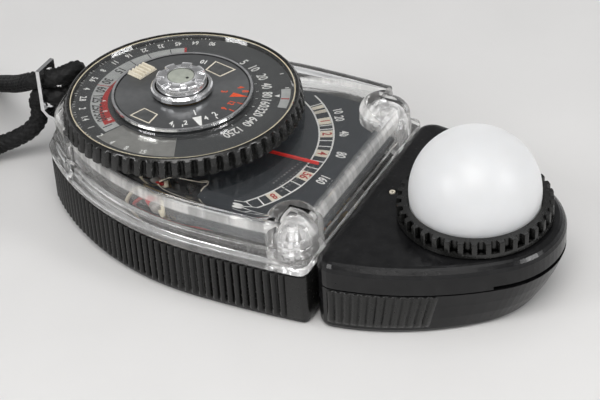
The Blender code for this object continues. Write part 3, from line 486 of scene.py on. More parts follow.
def swept(line, radius, sides=12, weave=None):
    """A tube along a line. A weave gives the share of the radius at an angle and a distance along it."""
    vertices, faces = [], []
    normal = Vector((0.13, 0.2, 1)).normalized()
    travelled = 0.0
    for i, point in enumerate(line):
        ahead = (line[min(i + 1, len(line) - 1)] - line[max(i - 1, 0)]).normalized()
        normal = (normal - ahead * normal.dot(ahead)).normalized()
        side = ahead.cross(normal)
        if i:
            travelled += (point - line[i - 1]).length
        for k in range(sides):
            turn = 2 * pi * k / sides
            reach = radius * weave(turn, travelled) if weave else radius
            vertices.append(point + (normal * cos(turn) + side * sin(turn)) * reach)
    for i in range(len(line) - 1):
        for k in range(sides):
            j = (k + 1) % sides
            faces.append((i * sides + k, i * sides + j, (i + 1) * sides + j, (i + 1) * sides + k))
    faces.append(list(reversed(range(sides))))
    faces.append([(len(line) - 1) * sides + k for k in range(sides)])
    return vertices, faces


# ---- outlines of the frame

CASE_LENGTH, HEAD_LENGTH = 71.2 * MM, 41.4 * MM
JOINT_GAP = 0.3 * MM
CASE_HALF_WIDTH = 28.7 * MM
WIDEST_X = JOINT - 25 * MM
FRONT_RADIUS, SIDE_RADIUS, END_RADIUS = 260 * MM, 63.2 * MM, 30 * MM
HEAD_SIDE_RADIUS, HEAD_END_RADIUS = 60.7 * MM, 16.7 * MM
HEAD_SIDE_CENTRE = (JOINT - 3.73 * MM, -33.57 * MM)


def arc(centre, radius, start, end, count):
    angles = [start + (end - start) * i / count for i in range(count + 1)]
    return [(centre[0] + radius * cos(a), centre[1] + radius * sin(a)) for a in angles]


def crossing(first, first_radius, second, second_radius):
    dx, dy = second[0] - first[0], second[1] - first[1]
    apart = hypot(dx, dy)
    along = (first_radius ** 2 - second_radius ** 2 + apart ** 2) / (2 * apart)
    off = sqrt(first_radius ** 2 - along ** 2)
    base = (first[0] + along * dx / apart, first[1] + along * dy / apart)
    return min((base[0] - s * off * dy / apart, base[1] + s * off * dx / apart) for s in (1, -1))


def mirrored(upper):
    return upper + [(x, -y) for x, y in reversed(upper)]


def direction(centre, point):
    return atan2(point[1] - centre[1], point[0] - centre[0])


def case_outline(inset=0.0, joint_inset=None, corner=1.8 * MM, fine=3):
    joint = JOINT - JOINT_GAP - (inset if joint_inset is None else joint_inset)
    corner = max(corner - inset, 0.3 * MM)
    end_corner = max(4.5 * MM - inset, 0.3 * MM)
    front = (WIDEST_X, CASE_HALF_WIDTH - FRONT_RADIUS)
    side = (WIDEST_X, CASE_HALF_WIDTH - SIDE_RADIUS)
    end = (JOINT - CASE_LENGTH + END_RADIUS, 0)
    front_radius, side_radius, end_radius = (r - inset for r in (FRONT_RADIUS, SIDE_RADIUS, END_RADIUS))
    near = (joint - corner, front[1] + sqrt((front_radius - corner) ** 2 - (joint - corner - front[0]) ** 2))
    far = crossing(side, side_radius - end_corner, end, end_radius - end_corner)
    upper = arc(near, corner, 0, direction(front, near), 6 * fine)
    upper += arc(front, front_radius, direction(front, near), pi / 2, 4 * fine)[1:]
    upper += arc(side, side_radius, pi / 2, direction(side, far), 12 * fine)[1:]
    upper += arc(far, end_corner, direction(side, far), direction(end, far), 5 * fine)[1:]
    upper += arc(end, end_radius, direction(end, far), pi - 0.02, 4 * fine)[1:]
    return mirrored(upper)


def leaned(joint, draw, x, y):
    """A point of the head's outline, drawn in towards the joint."""
    return joint + (x - joint) * draw, y * (1 - 0.13 * (1 - draw))


def head_outline(inset=0.0, joint_inset=None, draw_in=1.0, fine=3):
    joint = JOINT + JOINT_GAP + (inset if joint_inset is None else joint_inset)
    corner = max(4.0 * MM - inset, 0.3 * MM)
    side_radius, end_radius = HEAD_SIDE_RADIUS - inset, HEAD_END_RADIUS - inset
    end = (JOINT + HEAD_LENGTH - HEAD_END_RADIUS, 0)
    side = HEAD_SIDE_CENTRE
    near = (joint + corner, side[1] + sqrt((side_radius - corner) ** 2 - (joint + corner - side[0]) ** 2))
    turn = direction(side, end)
    upper = arc(end, end_radius, 0.02, turn, 10 * fine)
    upper += arc(side, side_radius, turn, direction(side, near), 12 * fine)[1:]
    upper += arc(near, corner, direction(side, near), pi, 6 * fine)[1:]
    return mirrored([leaned(joint, draw_in, x, y) for x, y in upper])


def even(outline, spacing):
    """Points at even spacing along a closed outline, with their outward normals and distance along it."""
    points = np.array(outline + outline[:1])
    steps = np.hypot(*np.diff(points, axis=0).T)
    along = np.concatenate([[0], np.cumsum(steps)])
    count = round(along[-1] / spacing)
    places = np.arange(count) * along[-1] / count
    x, y = (np.interp(places, along, points[:, k]) for k in (0, 1))
    tx, ty = (np.roll(v, -2) - np.roll(v, 2) for v in (x, y))
    long = np.hypot(tx, ty)
    return x, y, ty / long, -tx / long, places, along[-1]


# ---- camera, light, floor

def camera():
    yaw, pitch, roll = 0.5091, 0.6298, -0.0633
    ahead = Vector((-sin(yaw) * cos(pitch), cos(yaw) * cos(pitch), -sin(pitch)))
    right = ahead.cross(Vector((0, 0, 1))).normalized()
    up = right.cross(ahead)
    turned_right = right * cos(roll) + up * sin(roll)
    turned_up = up * cos(roll) - right * sin(roll)
    made = bpy.data.objects.new("camera", bpy.data.cameras.new("camera"))
    axes = Matrix((turned_right, turned_up, -ahead)).transposed().to_4x4()
    made.matrix_world = Matrix.Translation((0.163724, -0.290285, 0.250102)) @ axes
    made.data.sensor_width = 36
    made.data.lens = 1994.1 / 600 * 36
    made.data.clip_start = 0.01
    bpy.context.scene.camera = link(made)


def area_light(name, place, aim, size, power, colour=(1, 1, 1)):
    light = bpy.data.lights.new(name, "AREA")
    light.shape = "RECTANGLE"
    light.size, light.size_y = size
    light.energy = power
    light.color = colour
    made = bpy.data.objects.new(name, light)
    made.location = place
    made.rotation_euler = (Vector(aim) - Vector(place)).to_track_quat("-Z", "Y").to_euler()
    link(made)


def studio():
    floor_look = Look("floor_paper")
    floor_look.vary((0.70, 0.695, 0.69), (0.68, 0.675, 0.67), 30)
    floor_look.rough(0.55, 0.75, 40)
    floor_look.bump(floor_look.noise(900, 3.0), 0.06, 0.00005)
    mesh = bpy.data.meshes.new("floor")
    mesh.from_pydata([(-3, -3, 0), (3, -3, 0), (3, 3, 0), (-3, 3, 0)], [], [(0, 1, 2, 3)])
    mesh.materials.append(floor_look.material)
    floor = link(bpy.data.objects.new("floor", mesh))
    world = bpy.data.worlds.new("studio")
    world.use_nodes = True
    nodes, links = world.node_tree.nodes, world.node_tree.links
    background = nodes["Background"]
    where, split, fade = (nodes.new("ShaderNode" + kind) for kind in ("TexCoord", "SeparateXYZ", "MapRange"))
    links.new(where.outputs["Generated"], split.inputs[0])
    links.new(split.outputs[2], fade.inputs[0])
    for socket, value in zip(fade.inputs[1:5], (0.16, 0.5, 0.9, 0.27)):
        socket.default_value = value
    background.inputs[0].default_value = (0.98, 0.985, 0.99, 1)
    links.new(fade.outputs[0], background.inputs[1])
    bpy.context.scene.world = world
    area_light("key", (0.12, -0.22, 0.46), (0.03, -0.03, 0), (0.34, 0.26), 1.45, (1, 0.985, 0.97))
    area_light("overhead", (0.0, 0.06, 0.90), (0, 0, 0), (0.7, 0.5), 1.0)
    area_light("left", (-0.42, -0.62, 0.50), (0, 0, 0.01), (0.26, 0.26), 2.0)
    area_light("right", (0.78, 0.05, 0.52), (0, 0, 0.01), (0.26, 0.26), 2.2)
    bpy.context.scene.view_settings.view_transform = "Standard"


camera()
studio()


# ---- cord

ROUTE = [
    (-96.5, 20.4, 2.2), (-90.5, 19.6, 2.5), (-84.6, 16.8, 5.0), (-78.6, 12.0, 9.3), (-72.6, 7.0, 13.7),
    (-66.6, 2.2, 18.3), (-62.1, -0.2, 21.4), (-58.4, -0.1, 22.9), (-55.7, 0.4, 23.7), (-53.8, 1.9, 24.3),
    (-53.2, 3.9, 24.1), (-53.9, 5.3, 22.2), (-55.0, 4.7, 20.1), (-55.0, 2.1, 18.8), (-56.6, 0.2, 18.7),
    (-58.5, 0.0, 18.8), (-60.5, 0.0, 18.3), (-61.8, 0.2, 16.2), (-62.0, 0.6, 13.2), (-62.6, 0.3, 10.6),
    (-64.8, -0.7, 7.9), (-68.0, -1.9, 5.8), (-71.1, -3.0, 4.2), (-74.2, -6.2, 2.8),
]
COIL = (-106.0, -9.0)
CORD_RADIUS = 2.0 * MM


def smooth_route(points, spacing):
    """Points at even spacing on the Catmull-Rom curve through the route's own points."""
    route = [Vector(p) for p in points]
    route = [route[0] * 2 - route[1], *route, route[-1] * 2 - route[-2]]
    fine = []
    for a, b, c, d in zip(route, route[1:], route[2:], route[3:]):
        for step in range(24):
            t = step / 24
            fine.append(0.5 * (2 * b + (c - a) * t + (2 * a - 5 * b + 4 * c - d) * t * t
                               + (3 * b - a - 3 * c + d) * t ** 3))
    fine.append(route[-2])
    lengths = np.cumsum([0] + [(b - a).length for a, b in zip(fine, fine[1:])])
    places = np.linspace(0, lengths[-1], max(2, round(lengths[-1] / spacing)) + 1)
    columns = [np.interp(places, lengths, [p[k] for p in fine]) for k in range(3)]
    return [Vector([float(c[i]) for c in columns]) for i in range(len(places))], float(lengths[-1])


def coil_points():
    """Six turns, three side by side in each of two layers, from the outside in and out again."""
    turns = [(25.0, 21.0, 3.2, 3.2), (21.0, 17.0, 3.2, 3.2), (17.0, 17.0, 3.2, 7.2), (17.0, 21.0, 7.2, 7.2),
             (21.0, 25.0, 7.2, 7.2)]
    points = []
    start = 100
    for number, (first, last, low, high) in enumerate(turns):
        for i in range(24):
            t = i / 24
            eased = min(max((t - 0.82) / 0.18, 0), 1)
            radius, z = first + (last - first) * eased, low + (high - low) * eased
            x, y = polar(radius, start + 360 * (number + t))
            points.append((COIL[0] + x, COIL[1] + y, z))
    for angle in range(0, 226, 15):
        x, y = polar(25.0, start + angle)
        points.append((COIL[0] + x, COIL[1] + y, 7.2))
    return points


def braid(turn, travelled, carriers=8, pitch=15.0 * MM):
    """Two sets of strands that wind opposite ways round the cord."""
    first = sin(carriers / 2 * turn + 2 * pi * travelled / pitch * carriers / 2)
    second = sin(carriers / 2 * turn - 2 * pi * travelled / pitch * carriers / 2)
    return 0.74 + 0.28 * sqrt(abs(first * second))


def braided(name, line):
    return piece(name, swept(line, CORD_RADIUS, 40, braid), "cord", "case", sharp=80)


def neck_cord():
    upper, lower = ROUTE[:8], ROUTE[17:]
    lead_in = [(-103.0, 18.6, 2.6)]
    lead_out = [(-76.4, -12.5, 3.4), (-80.5, -19.5, 5.0)]
    whole = upper[::-1] + lead_in + coil_points() + lead_out[::-1] + lower[::-1]
    line, length = smooth_route(mm(*whole), 0.4 * MM)
    cord = braided("neck_cord", line)
    bight, _ = smooth_route(mm(*ROUTE[7:18]), 0.45 * MM)
    loop = braided("cord_bight", bight)
    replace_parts(cord, "strap_cord", "strap_coil")


neck_cord()


# ---- case

def carved(data, steps):
    """A solid after some cuts and joins, each given as (operation, solid)."""
    made = [link(bpy.data.objects.new("carving", solid_mesh("carving", part)))
            for part in [data] + [tool for _, tool in steps]]
    for (operation, _), tool in zip(steps, made[1:]):
        step = made[0].modifiers.new(operation, "BOOLEAN")
        step.operation = operation
        step.object = tool
    result = evaluated(made[0])
    for old in made:
        bpy.data.objects.remove(old)
    return result


def upright(radius, low, high, places, count=64):
    outline = circle(radius, count)
    return [shifted(loft_data([(outline, low), (outline, high)]), x, y) for x, y in places]


def reeds(distance, pitch, depth, power):
    """Depth below the rib tops at some distance along a row of rounded ribs."""
    place = abs((distance / pitch) % 1 * 2 - 1)
    return depth * place ** power


def case_ribs():
    x, y, nx, ny, along, total = even(case_outline(), 0.15 * MM)
    pitch = total / round(total / (1.64 * MM))
    rib = []
    for i in range(len(x)):
        smooth = x[i] > JOINT - 4.8 * MM
        rib.append(0.06 * MM if smooth else reeds(along[i], pitch, 0.54 * MM, 1.3) - 0.2 * MM)

    def row(extra, z, follow=1.0):
        shape = [(x[i] - nx[i] * (rib[i] * follow + extra), y[i] - ny[i] * (rib[i] * follow + extra))
                 for i in range(len(x))]
        return shape, z * MM

    rows = [row(0.45 * MM, 1.3, 0), row(0.12 * MM, 1.3), row(0, 1.7), row(0, 11.2), row(0.16 * MM, 11.6),
            row(0.45 * MM, 11.6, 0)]
    piece("case_ribs", loft_data(rows, ring=True), "ribs", "case", sharp=50)


def head_ribs():
    """Ribs along both sides of the head's lower half, which lean with its wall."""
    outline = head_outline()
    x, y, nx, ny, along, _ = even(outline, 0.1 * MM)
    parts = []
    for side in (1, -1):
        chosen = [i for i in range(len(x)) if side * y[i] > 0 and JOINT + 3.6 * MM < x[i] < JOINT + 24.5 * MM]
        chosen.sort(key=lambda i: x[i])
        steps = [abs(along[i] - along[chosen[0]]) for i in chosen]
        section = [(x[i], y[i], nx[i], ny[i], 0.42 * MM - reeds(far, steps[-1] / 13, 0.4 * MM, 1.4))
                   for i, far in zip(chosen, steps)]
        rows = []
        for z, grow in ((1.6, 0), (2.1, 0.8), (2.6, 1), (9.3, 1), (9.8, 0.6), (9.9, 0)):
            draw = np.interp(z, (1.0, 4.0, 7.0, 10.1), (0.895, 0.938, 0.972, 1.0))
            placed = [(*leaned(JOINT + JOINT_GAP, draw, px, py), *rest) for px, py, *rest in section]
            outer = [(px + qx * out * grow, py + qy * out * grow) for px, py, qx, qy, out in placed]
            inner = [(px - qx * 0.3 * MM, py - qy * 0.3 * MM) for px, py, qx, qy, _ in reversed(placed)]
            rows.append((outer + inner, z * MM))
        parts.append(loft_data(rows))
    piece("head_ribs", merge(parts), "ribs", "head", sharp=50)


POST_RADIUS, POST_SHOULDER = 5.3, 18.8
WINDOW_BOTTOM, WINDOW_INSIDE_TOP = 12.3 * MM, 21.4 * MM


def open_corners(dome):
    """What is cut from the cover's roof at the joint corners, so that the domes of the posts stand clear."""
    solid = [(0, 15), (POST_RADIUS, 15)] + dome + [(1.15, 21.4), (0, 21.3)]
    corners = []
    for x, y in BOSSES:
        side = 1 if y > 0 else -1
        near, far, edge = y - side * 0.6 * MM, y + side * 9 * MM, x - 0.6 * MM
        plan = [(edge, near), (x + 9 * MM, near), (x + 9 * MM, far), (edge, far)]
        corners.append(carved(loft_data([(plan[::side], 16.9 * MM), (plan[::side], 24 * MM)]),
                              [("DIFFERENCE", shifted(lathe_data(mm(*solid), 72), x, y))]))
    return merge(corners)


def window():
    """The clear cover: flange, step, wall and rounded top, with a domed post in each joint corner."""
    low, under = WINDOW_BOTTOM, WINDOW_INSIDE_TOP
    corner = 6.9 * MM
    outer = [(-0.15, 0.1, 0.0), (-0.3, 0.0, 0.2), (-0.3, 0.0, 1.7), (-0.1, 0.05, 1.95), (0.6, 0.2, 2.15),
             (0.8, 0.2, 2.4), (0.8, 0.2, 3.9), (1.0, 0.25, 4.15), (1.5, 0.35, 4.3), (1.6, 0.35, 4.6),
             (1.65, 0.4, 9.0), (1.78, 0.53, 9.55), (2.1, 0.85, 10.15), (2.6, 1.3, 10.6), (3.2, 1.9, 10.85),
             (3.7, 2.4, 10.9)]
    sections = [(case_outline(inset * MM, joint_inset * MM, 1.8 * MM if z < 2.05 else corner), low + z * MM)
                for inset, joint_inset, z in outer]
    inside = [(case_outline(i * MM, j * MM, corner), z) for i, j, z in (
        (2.9, 2.2, low - 1 * MM), (2.9, 2.2, under - 0.9 * MM), (3.1, 2.4, under - 0.3 * MM),
        (3.5, 2.8, under))]
    dome = [(POST_RADIUS - 4.1 * (1 - cos(radians(a))), POST_SHOULDER + 3.1 * sin(radians(a)))
            for a in range(0, 91, 10)]
    post = mm((0, 12.3), (POST_RADIUS, 12.3), *dome, (1.1, 21.3), (0, 21.2))
    posts = [shifted(lathe_data(post, 72), x, y) for x, y in BOSSES]
    posts += upright(2.6 * MM, low, 21.9 * MM, REAR_BOSSES, 40)
    bore = mm((0, 11), (3.2, 11), (3.2, 16.95), (2.2, 18.2), (1.4, 18.75), (0, 18.9))
    bores = [shifted(lathe_data(bore, 48), x, y) for x, y in BOSSES]
    bores += upright(1.4 * MM, 11 * MM, 19 * MM, REAR_BOSSES, 32)
    bores += upright(5.1 * MM, 19 * MM, 24.5 * MM, [(DIAL.x, 0)], 64)
    data = carved(loft_data(sections), [("DIFFERENCE", loft_data(inside)), ("DIFFERENCE", open_corners(dome)),
                                        ("UNION", merge(posts)), ("DIFFERENCE", merge(bores))])
    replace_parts(piece("window", data, "cover", "case", sharp=40), "clear_cover")


case_ribs()
head_ribs()
window()


# ---- dial

def toothed(outer, depth, teeth, share, edge, fine=12):
    """Teeth round a circle with rounded corners; share of the pitch is tooth."""
    points = []
    for i in range(teeth * fine):
        place = (i / fine) % 1
        off = min(abs(place - share / 2), 1 - abs(place - share / 2)) - share / 2
        reach = min(max(off / edge + 0.5, 0), 1)
        turn = 2 * pi * i / (teeth * fine)
        radius = outer - depth * reach * reach * (3 - 2 * reach)
        points.append((radius * cos(turn), radius * sin(turn)))
    return points


def toothed_ring(name, profile, teeth, body, place):
    """A grip ring from a profile of (radius, depth of the teeth, z)."""
    rows = [(toothed(outer * MM, depth * MM, *teeth), z * MM) for outer, depth, z in profile]
    return piece(name, loft_data(rows, ring=True), "ring", body, place, sharp=38)


def dial_ring():
    profile = [(23.5, 0, 23.65), (24.7, 0.5, 23.65), (25.0, 0.85, 23.95), (24.85, 0.9, 25.5),
               (24.6, 0.75, 27.0), (24.4, 0.3, 27.25), (24.2, 0, 27.4), (24.0, 0, 27.68), (23.85, 0, 27.75),
               (23.5, 0, 27.75)]
    ring = toothed_ring("dial_grip_ring", profile, (60, 0.62, 0.26, 12), "dial", DIAL)
    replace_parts(ring, "dial_ring")
    # painted highlight: an opaque cream line where the clear dial disc's edge catches light
    line = [(23.05, 27.48), (23.27, 27.48), (23.27, 27.56), (23.05, 27.56)]
    piece("dial_edge_highlight", lathe_data(mm(*line), 160), "wire", "dial", DIAL)


def printing(name, parts, look, body, place=None):
    return piece(name, merge(parts), look, body, DIAL if place is None else place)


def base_prints():
    """Fixed scales on a card that lies on the disc under the clear dial."""
    card = mm((5.1, 25.15), (22.6, 25.15), (22.6, 25.88), (5.1, 25.88))
    piece("scale_card", lathe_data(card, 128), "dial", "case", DIAL)
    z = PRINT_Z
    up = z + 0.02 * MM
    printing("print_light_ring", [band(15.7, 19.1, 118, 245, z)], "grey", "case")
    red = [tick(15.7, 19.1, 118, 0.5, up), tick(15.7, 19.1, 189, 0.2, up),
           band(15.55, lambda t: 15.9 + 2.1 * t, 178, 238, up)]
    printing("print_red", red, "red", "case")
    black = [tick(15.8, 19.0, a, 0.18, up) for a in (128, 143, 156)]
    black += [around(text, 2.9, 17.8, angle, up, outward=False, wide=0.72) for text, angle in (
        ("15", 168), ("30", 183), ("60", 194), ("125", 205), ("250", 217), ("500", 228), ("1", 240))]
    printing("print_black", black, "black", "case")
    printing("print_silver", [band(15.0, 21.4, 246, 295, z)], "silver", "case")
    white = []
    for text, angle in (("5", 72), ("10", 61), ("20", 48), ("40", 36), ("80", 25), ("160", 15), ("320", 4),
                        ("640", -9), ("1250", -25)):
        white.append(around(text, 2.9, 17.3, angle, z, wide=0.76))
        white.append(tick(15.1, 15.6, angle + 5, 0.15, z))
    for angle, text in ((208, "4"), (222, "8"), (233, "16")):
        white.append(around(text, 1.3, 16.35, angle, up + 0.01 * MM, outward=False))
    printing("print_white", white, "white", "case")


def dial_prints():
    """Numerals and marks that turn with the clear dial."""
    z = 25.99 * MM
    white = []
    texts = "90 64 45 32 22 16 11 8 5.6 4 2.8 2 1.4 1 2 4 8 15".split()
    for i, text in enumerate(texts):
        angle = 102 + i * 10.3
        white.append(around(text, 2.0, 20.8, angle, z, outward=False, wide=0.72))
        for k in range(3):
            white.append(tick(22.2, 22.8 if k == 1 else 22.6, angle + 5.15 + (k - 1) * 2.2, 0.12, z))
    white += [tick(21.1, 21.9, angle, 0.25, z) for angle in (31, 46)]
    white.append(flat([polar(18.9 * MM, 23), polar(20.0 * MM, 21.6), polar(20.0 * MM, 24.4)], z))
    printing("print_dial_white", white, "white", "dial")
    printing("print_dial_window", [band(20.3, 22.2, 11, 30, z)], "grey", "dial")
    red = [tick(20.4, 22.1, 20, 0.35, z + lift) for lift in (-0.03 * MM, 0.02 * MM)]
    printing("print_dial_red", red, "red", "dial")


def speed_prints():
    z = 28.3 * MM
    up = z + 0.03 * MM
    cream, grey = [], []
    for corners in ([(0.9, 12.5), (6.45, 11.2), (4.75, 7.5), (0.55, 8.7)],
                    [(-3.9, -8.7), (-0.1, -9.7), (-0.1, -13.3), (-5.3, -12.2)]):
        middle = (sum(x for x, _ in corners) / 4, sum(y for _, y in corners) / 4)
        cream.append(flat(mm(*corners), z))
        inner = [(middle[0] + (x - middle[0]) * 0.86, middle[1] + (y - middle[1]) * 0.86) for x, y in corners]
        grey.append(flat(mm(*inner), up))
    printing("print_speed_frames", cream, "cream", "film_speed")
    printing("print_speed_windows", grey, "window_grey", "film_speed")
    red = [flat(mm((10.2, 1.6), (13.7, 3.1), (10.2, 3.3)), z)]
    for text, x, y, turn in (("4", 10.6, 5.6, -60), ("8", 12.2, 4.6, -70), ("3", 8.2, 2.9, -70),
                             ("12", 11.6, -0.2, -90), ("6", 11.2, -2.6, -100), ("1", 13.3, 0.3, -90),
                             ("1", 12.9, -2.6, -100)):
        red.append(lettering(text, 1.9 * MM, x * MM, y * MM, turn, z, wide=0.8))
    printing("print_speed_orange", red, "orange", "film_speed")
    white = [flat(mm((6.9, -8.1), (8.3, -6.8), (10.7, -10.6)), z),
             stroke(*mm((5.8, -5.5), (7.1, -6.9)), 0.25 * MM, z)]
    for text, x, y in (("2", 10.5, -5.1), ("4", 9.6, -7.1), ("2", 6.6, -10.2), ("4", 4, -11.5)):
        white.append(lettering(text, 2.1 * MM, x * MM, y * MM, degrees(atan2(y, x)) + 90, z, wide=0.8))
    white += [tick(12.6, 13.5, angle, 0.2, z) for angle in (332, 300, 292)]
    white.append(lettering("10", 2.0 * MM, *polar(11.4 * MM, 96), 186, z, wide=0.8))
    printing("print_speed_white", white, "white", "film_speed")


def speed_grip():
    """A pale finger grip with ridges that run out along the radius."""
    parts = [loft_data([(mm((9.7, -2.45), (13.5, -2.45), (13.5, 2.45), (9.7, 2.45)), 28.4 * MM),
                        (mm((9.75, -2.4), (13.45, -2.4), (13.45, 2.4), (9.75, 2.4)), 28.65 * MM)])]
    for middle in (-1.96 + i * 0.98 for i in range(5)):
        rows = []
        for x in (9.75, 9.95, 11.6, 13.25, 13.45):
            top = 0.35 if x in (9.75, 13.45) else 0.62
            turns = (k * pi / 8 for k in range(9))
            rows.append(([(middle + 0.27 * cos(a), 28.6 + top * sin(a)) for a in turns], x))
        vertices, faces = loft_data(rows)
        parts.append((mm(*[(x, y, z) for y, z, x in vertices]), faces))
    grip = piece("speed_grip", merge(parts), "cream", "film_speed", DIAL, (0, 0, radians(166)))
    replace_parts(grip, "speed_disc_grip")


def knob():
    """A milled button: blocks round the top with slots between them, above a smooth barrel."""
    profile = [(1.5, 0, 19.1), (1.5, 0, 28.65), (5.0, 0, 28.65), (5.25, 0, 28.9), (5.25, 0, 31.15),
               (5.2, 0, 31.28), (5.2, 1.5, 31.34), (5.15, 1.5, 31.8), (5.0, 1.5, 31.95), (4.8, 1.4, 32.0),
               (3.0, 0, 32.0), (2.9, 0, 31.94), (2.9, 0, 31.3)]
    sections = [(toothed(radius * MM, depth * MM, 8, 0.62, 0.1, 24), z * MM) for radius, depth, z in profile]
    button = piece("knob_button", loft_data(sections), "satin", "button", DIAL, sharp=40)
    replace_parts(button, "release_button")
    face = [(0, 31.5), (2.7, 31.5), (2.7, 31.9), (2.6, 31.96), (0, 31.98)]
    inlay = piece("button_face", lathe_data(mm(*face), 64), "inlay", "button", DIAL)
    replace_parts(inlay, "button_inlay")
    dot = [(0, 31.96), (0.34, 31.96), (0.3, 32.03), (0, 32.05)]
    piece("button_dot", lathe_data(mm(*dot), 24), "black", "button",
          DIAL + Vector((1.7 * MM, -0.3 * MM, 0)))


def button_spring():
    """The coil spring under the button, built at one length; nothing here shortens it as the button goes
    down.
    """
    low, high, turns = 22.6 * MM, 28.1 * MM, 4
    line = [Vector((2.6 * MM * cos(a), 2.6 * MM * sin(a), low + (high - low) * a / (2 * pi * turns)))
            for a in (2 * pi * i / 36 for i in range(turns * 36 + 1))]
    spring = piece("coil_spring", swept([p + DIAL for p in line], 0.3 * MM, 10), "steel", "lock", sharp=60)
    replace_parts(spring, "button_spring")
    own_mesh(spring)


PRINT_Z = 25.87 * MM
dial_ring()
base_prints()
dial_prints()
speed_prints()
speed_grip()
knob()
button_spring()


# ---- scale plate

def plate_prints():
    """The needle's scale. It sits a little to the front of where it is seen, as the window bends light."""
    z = 16.49 * MM
    up = z + 0.03 * MM
    shift = Vector((JOINT + 1.1 * MM, -1.6 * MM, 0))
    centre, radius = (-39.0, 1.7), 25.8
    white, red, boxes = [], [], []

    def at(distance, angle):
        x, y = polar(distance, angle)
        return (centre[0] + x) * MM, (centre[1] + y) * MM

    def angle_of(x, y):
        return degrees(atan2(y - centre[1], x - centre[0]))

    for edge in (radius - 1.5, radius + 1.5):
        arc_line = band(edge - 0.17, edge + 0.17, -46, 58, z)
        white.append(shifted(arc_line, centre[0] * MM, centre[1] * MM))
    marks = [(-15.6, -10.4, "8"), (-13.1, -1.6, "56"), (-13.3, 6.7, "4"), (-15.8, 13.2, "2"),
             (-18.5, 17.1, "1"), (-20.6, 20, ""), (-21.7, 21.3, "")]
    angles = [angle_of(x, y) for x, y, _ in marks]
    for (x, y, text), angle in zip(marks, angles):
        half = 2.6 if len(text) == 1 else (3.2 if text else 1.2)
        inner, outer = radius - 1.3, radius + 1.3
        boxes.append(flat([at(inner, angle - half), at(outer, angle - half), at(outer, angle + half),
                           at(inner, angle + half)], z))
        if text:
            red.append(lettering(text, 2.8 * MM, *at(radius, angle), angle - 90, up, wide=0.75))
    for before, after in zip([-46.5] + angles[:5], angles[:5] + [58]):
        for part in (0.36, 0.66):
            angle = before + (after - before) * part
            white.append(stroke(at(radius - 1.4, angle), at(radius + 1.4, angle), 0.28 * MM, z))
    for text, x, y in (("320", -12.5, -12.3), ("160", -9.6, -1.8), ("80", -10, 7.3), ("40", -12.7, 14.6),
                       ("20", -16, 19.2), ("10", -17.5, 21.5)):
        white.append(lettering(text, 2.7 * MM, x * MM, y * MM, angle_of(x, y) - 90, z, wide=0.72))
    drop = [(-20.4 + 0.9 * cos(a) * (1.5 if cos(a) < 0 else 1), -17.3 + 0.8 * sin(a)) for a in
            (2 * pi * i / 20 for i in range(20))]
    white.append(flat(mm(*drop), z))
    dashes = []
    for x, y in ((-18.2, -6.5), (-16.8, -7.4), (-15.5, -8.3)):
        for i in range(13):
            near, far = [(x + 2.3 * t, y + 10.8 * t) for t in ((i + 0.1) / 13, (i + 0.65) / 13)]
            dashes.append(stroke(*mm(near, far), 0.42 * MM, z))
    printing("print_plate_small", dashes, "small", "case", shift)
    printing("print_plate_white", white, "white", "case", shift)
    printing("print_plate_boxes", boxes, "cream", "case", shift)
    printing("print_plate_red", red, "red", "case", shift)


def plate_opening():
    """The opening that shows the movement beside the dial: its cut, a pale strip along its edge that is
    painted highlight, and a small bracket.
    """
    edge = [(3.1, -17.8), (4.4, -15.5), (8.4, -13.5), (11.6, -11.4), (12.4, -14.6), (12.9, -17.4),
            (12.9, -19.9)]
    hole = mm(*edge, (10.9, -24.4), (-2.1, -12.1))
    shift = Vector((0.5 * MM, -1.0 * MM, 0))
    vertices, faces = shifted(loft_data([(hole, 15 * MM), (hole, 18 * MM)]), DIAL.x, 0)
    tool = link(bpy.data.objects.new("opening", bpy.data.meshes.new("opening")))
    tool.data.from_pydata(vertices, [], faces)
    tool.location = shift
    plate = NODES["scale_plate"]
    step = plate.modifiers.new("opening", "BOOLEAN")
    step.object = tool
    data = evaluated(plate)
    plate.modifiers.remove(step)
    bpy.data.objects.remove(tool)
    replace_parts(piece("plate_card", data, "plate", "case"), "scale_plate")
    # painted highlight: a pale strip along the cut edge where the plate's edge catches light
    line, _ = smooth_route(mm(*[(x, y, 16.3) for x, y in edge[:6]]), 0.4 * MM)
    piece("plate_edge_highlight", swept(line, 0.24 * MM, 10), "lip", "case", DIAL + shift, sharp=60)
    fold = [(9.0, 12.5), (9.0, 15.3), (9.3, 15.6), (11.2, 15.6), (11.2, 15.2), (9.6, 15.2), (9.4, 15.0),
            (9.4, 12.5)]
    ends = mm(*[(x, y, z) for y in (-17.6, -15.4) for x, z in fold])
    sides = [(k, (k + 1) % 8, (k + 1) % 8 + 8, k + 8) for k in range(8)]
    faces = [tuple(range(8)), tuple(range(15, 7, -1))] + sides
    piece("movement_bracket", (ends, faces), "satin", "case", DIAL)


def wires():
    """Leads between the resistor, the movement and the swivel contacts."""
    runs = (
        ("wire_supply", "red", [(-23.0, -17.3, 13.8), (-25.0, -18.6, 13.0), (-27.0, -18.0, 9.0),
                                (-22, -16.5, 4.5), (-8, -11, 4.2), (5, -4, 4)]),
        ("wire_coil", "wire", [(-18.5, -21.2, 13.8), (-17.4, -22.0, 13.0), (-18.2, -20.4, 15.0),
                               (-21.2, -15.8, 15.3), (-23.4, -12.6, 15.4)]),
        ("wire_return", "wire", [(-27.5, -20.5, 3.0), (-28.5, -19.8, 9.5), (-27.0, -16.8, 14.0),
                                 (-24.9, -13.6, 15.3)]),
    )
    for name, look, points in runs:
        line, _ = smooth_route(mm(*points), 0.4 * MM)
        piece(name, swept(line, 0.42 * MM), look, "case", sharp=60)


plate_prints()
plate_opening()
wires()


# ---- diffuser

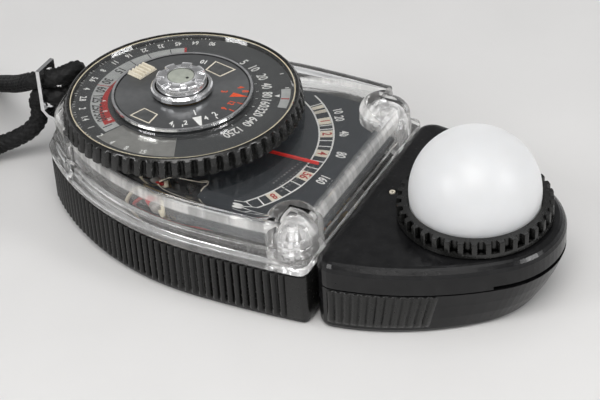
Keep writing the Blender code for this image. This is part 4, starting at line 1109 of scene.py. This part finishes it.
def diffuser():
    inner, outer, centre = 11.94, 13.04, 21.33

    def shell(radius, step, places):
        turns = [radians(90 - i * step) for i in places]
        return [(radius * cos(t), centre + radius * sin(t)) for t in turns]

    profile = [(0, centre + inner), *shell(inner, 3.0, range(1, 33)), (11.75, 17.6), (11.75, 16.3),
               (12.9, 16.3), (12.9, 19.4), *shell(outer, 3.05, range(32, 0, -1)), (0, centre + outer)]
    dome = piece("opal_dome", lathe_data(mm(*profile), 144), "opal", "diffuser", DOME,
                 sharp=40)
    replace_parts(dome, "diffuser_dome")
    profile = [(13.2, 0, 16.3), (15.3, 0, 16.3), (15.45, 0, 16.45), (15.45, 0, 17.35), (15.45, 1.0, 17.45),
               (15.45, 1.0, 19.5), (15.3, 0.9, 19.7), (13.2, 0, 19.7)]
    ring = toothed_ring("dome_ring", profile, (36, 0.46, 0.07, 16), "diffuser", DOME)
    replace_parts(ring, "diffuser_ring")


def index_mark():
    ring = [(0.28, 15.75), (0.62, 15.75), (0.62, 16.0), (0.5, 16.06), (0.34, 16.04), (0.28, 15.95)]
    mark = piece("index_mark", lathe_data(mm(*ring), 32), "cream", "head",
                 (JOINT + 5.5 * MM, 0, 0))
    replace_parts(mark, "index_dot")


diffuser()
index_mark()


# ---- frame nodes that stay

STAY = {
    "case": "case_base strap_tie",
    "head": "head_lower head_upper",
    "disc": "dial_disc",
    "plate": "rear_plate",
    "dial": "base_scale_disc",
    "speed": "speed_disc",
    "chrome": "strap_lug boss_insert_near boss_insert_far",
    "satin": "lock_collar speed_disc_rim",
    "steel": "cover_screw_near cover_screw_far rear_screw_near rear_screw_far head_screw_near head_screw_far "
             "magnet_core coil_pivot_lower coil_pivot_upper swivel_retainer swivel_nut cell_retainer "
             "diffuser_spring_ring",
    "brass": "zero_adjuster lower_bridge upper_bridge bridge_pillar_near bridge_pillar_far lower_jewel_screw "
             "upper_jewel_screw hairspring dial_bush dial_bush_collar swivel_spindle cell_contact_ring",
    "copper": "slip_contact_inner slip_contact_outer moving_coil",
    "needle": "needle",
    "resistor": "calibration_resistor",
    "cell": "photocell",
    "magnet": "field_magnet",
}

for look, names in STAY.items():
    for name in names.split():
        mesh = NODES[name].data
        mesh.materials.clear()
        mesh.materials.append(LOOKS[look])
        mesh.shade_smooth()
        mesh.set_sharp_from_angle(angle=radians(32))
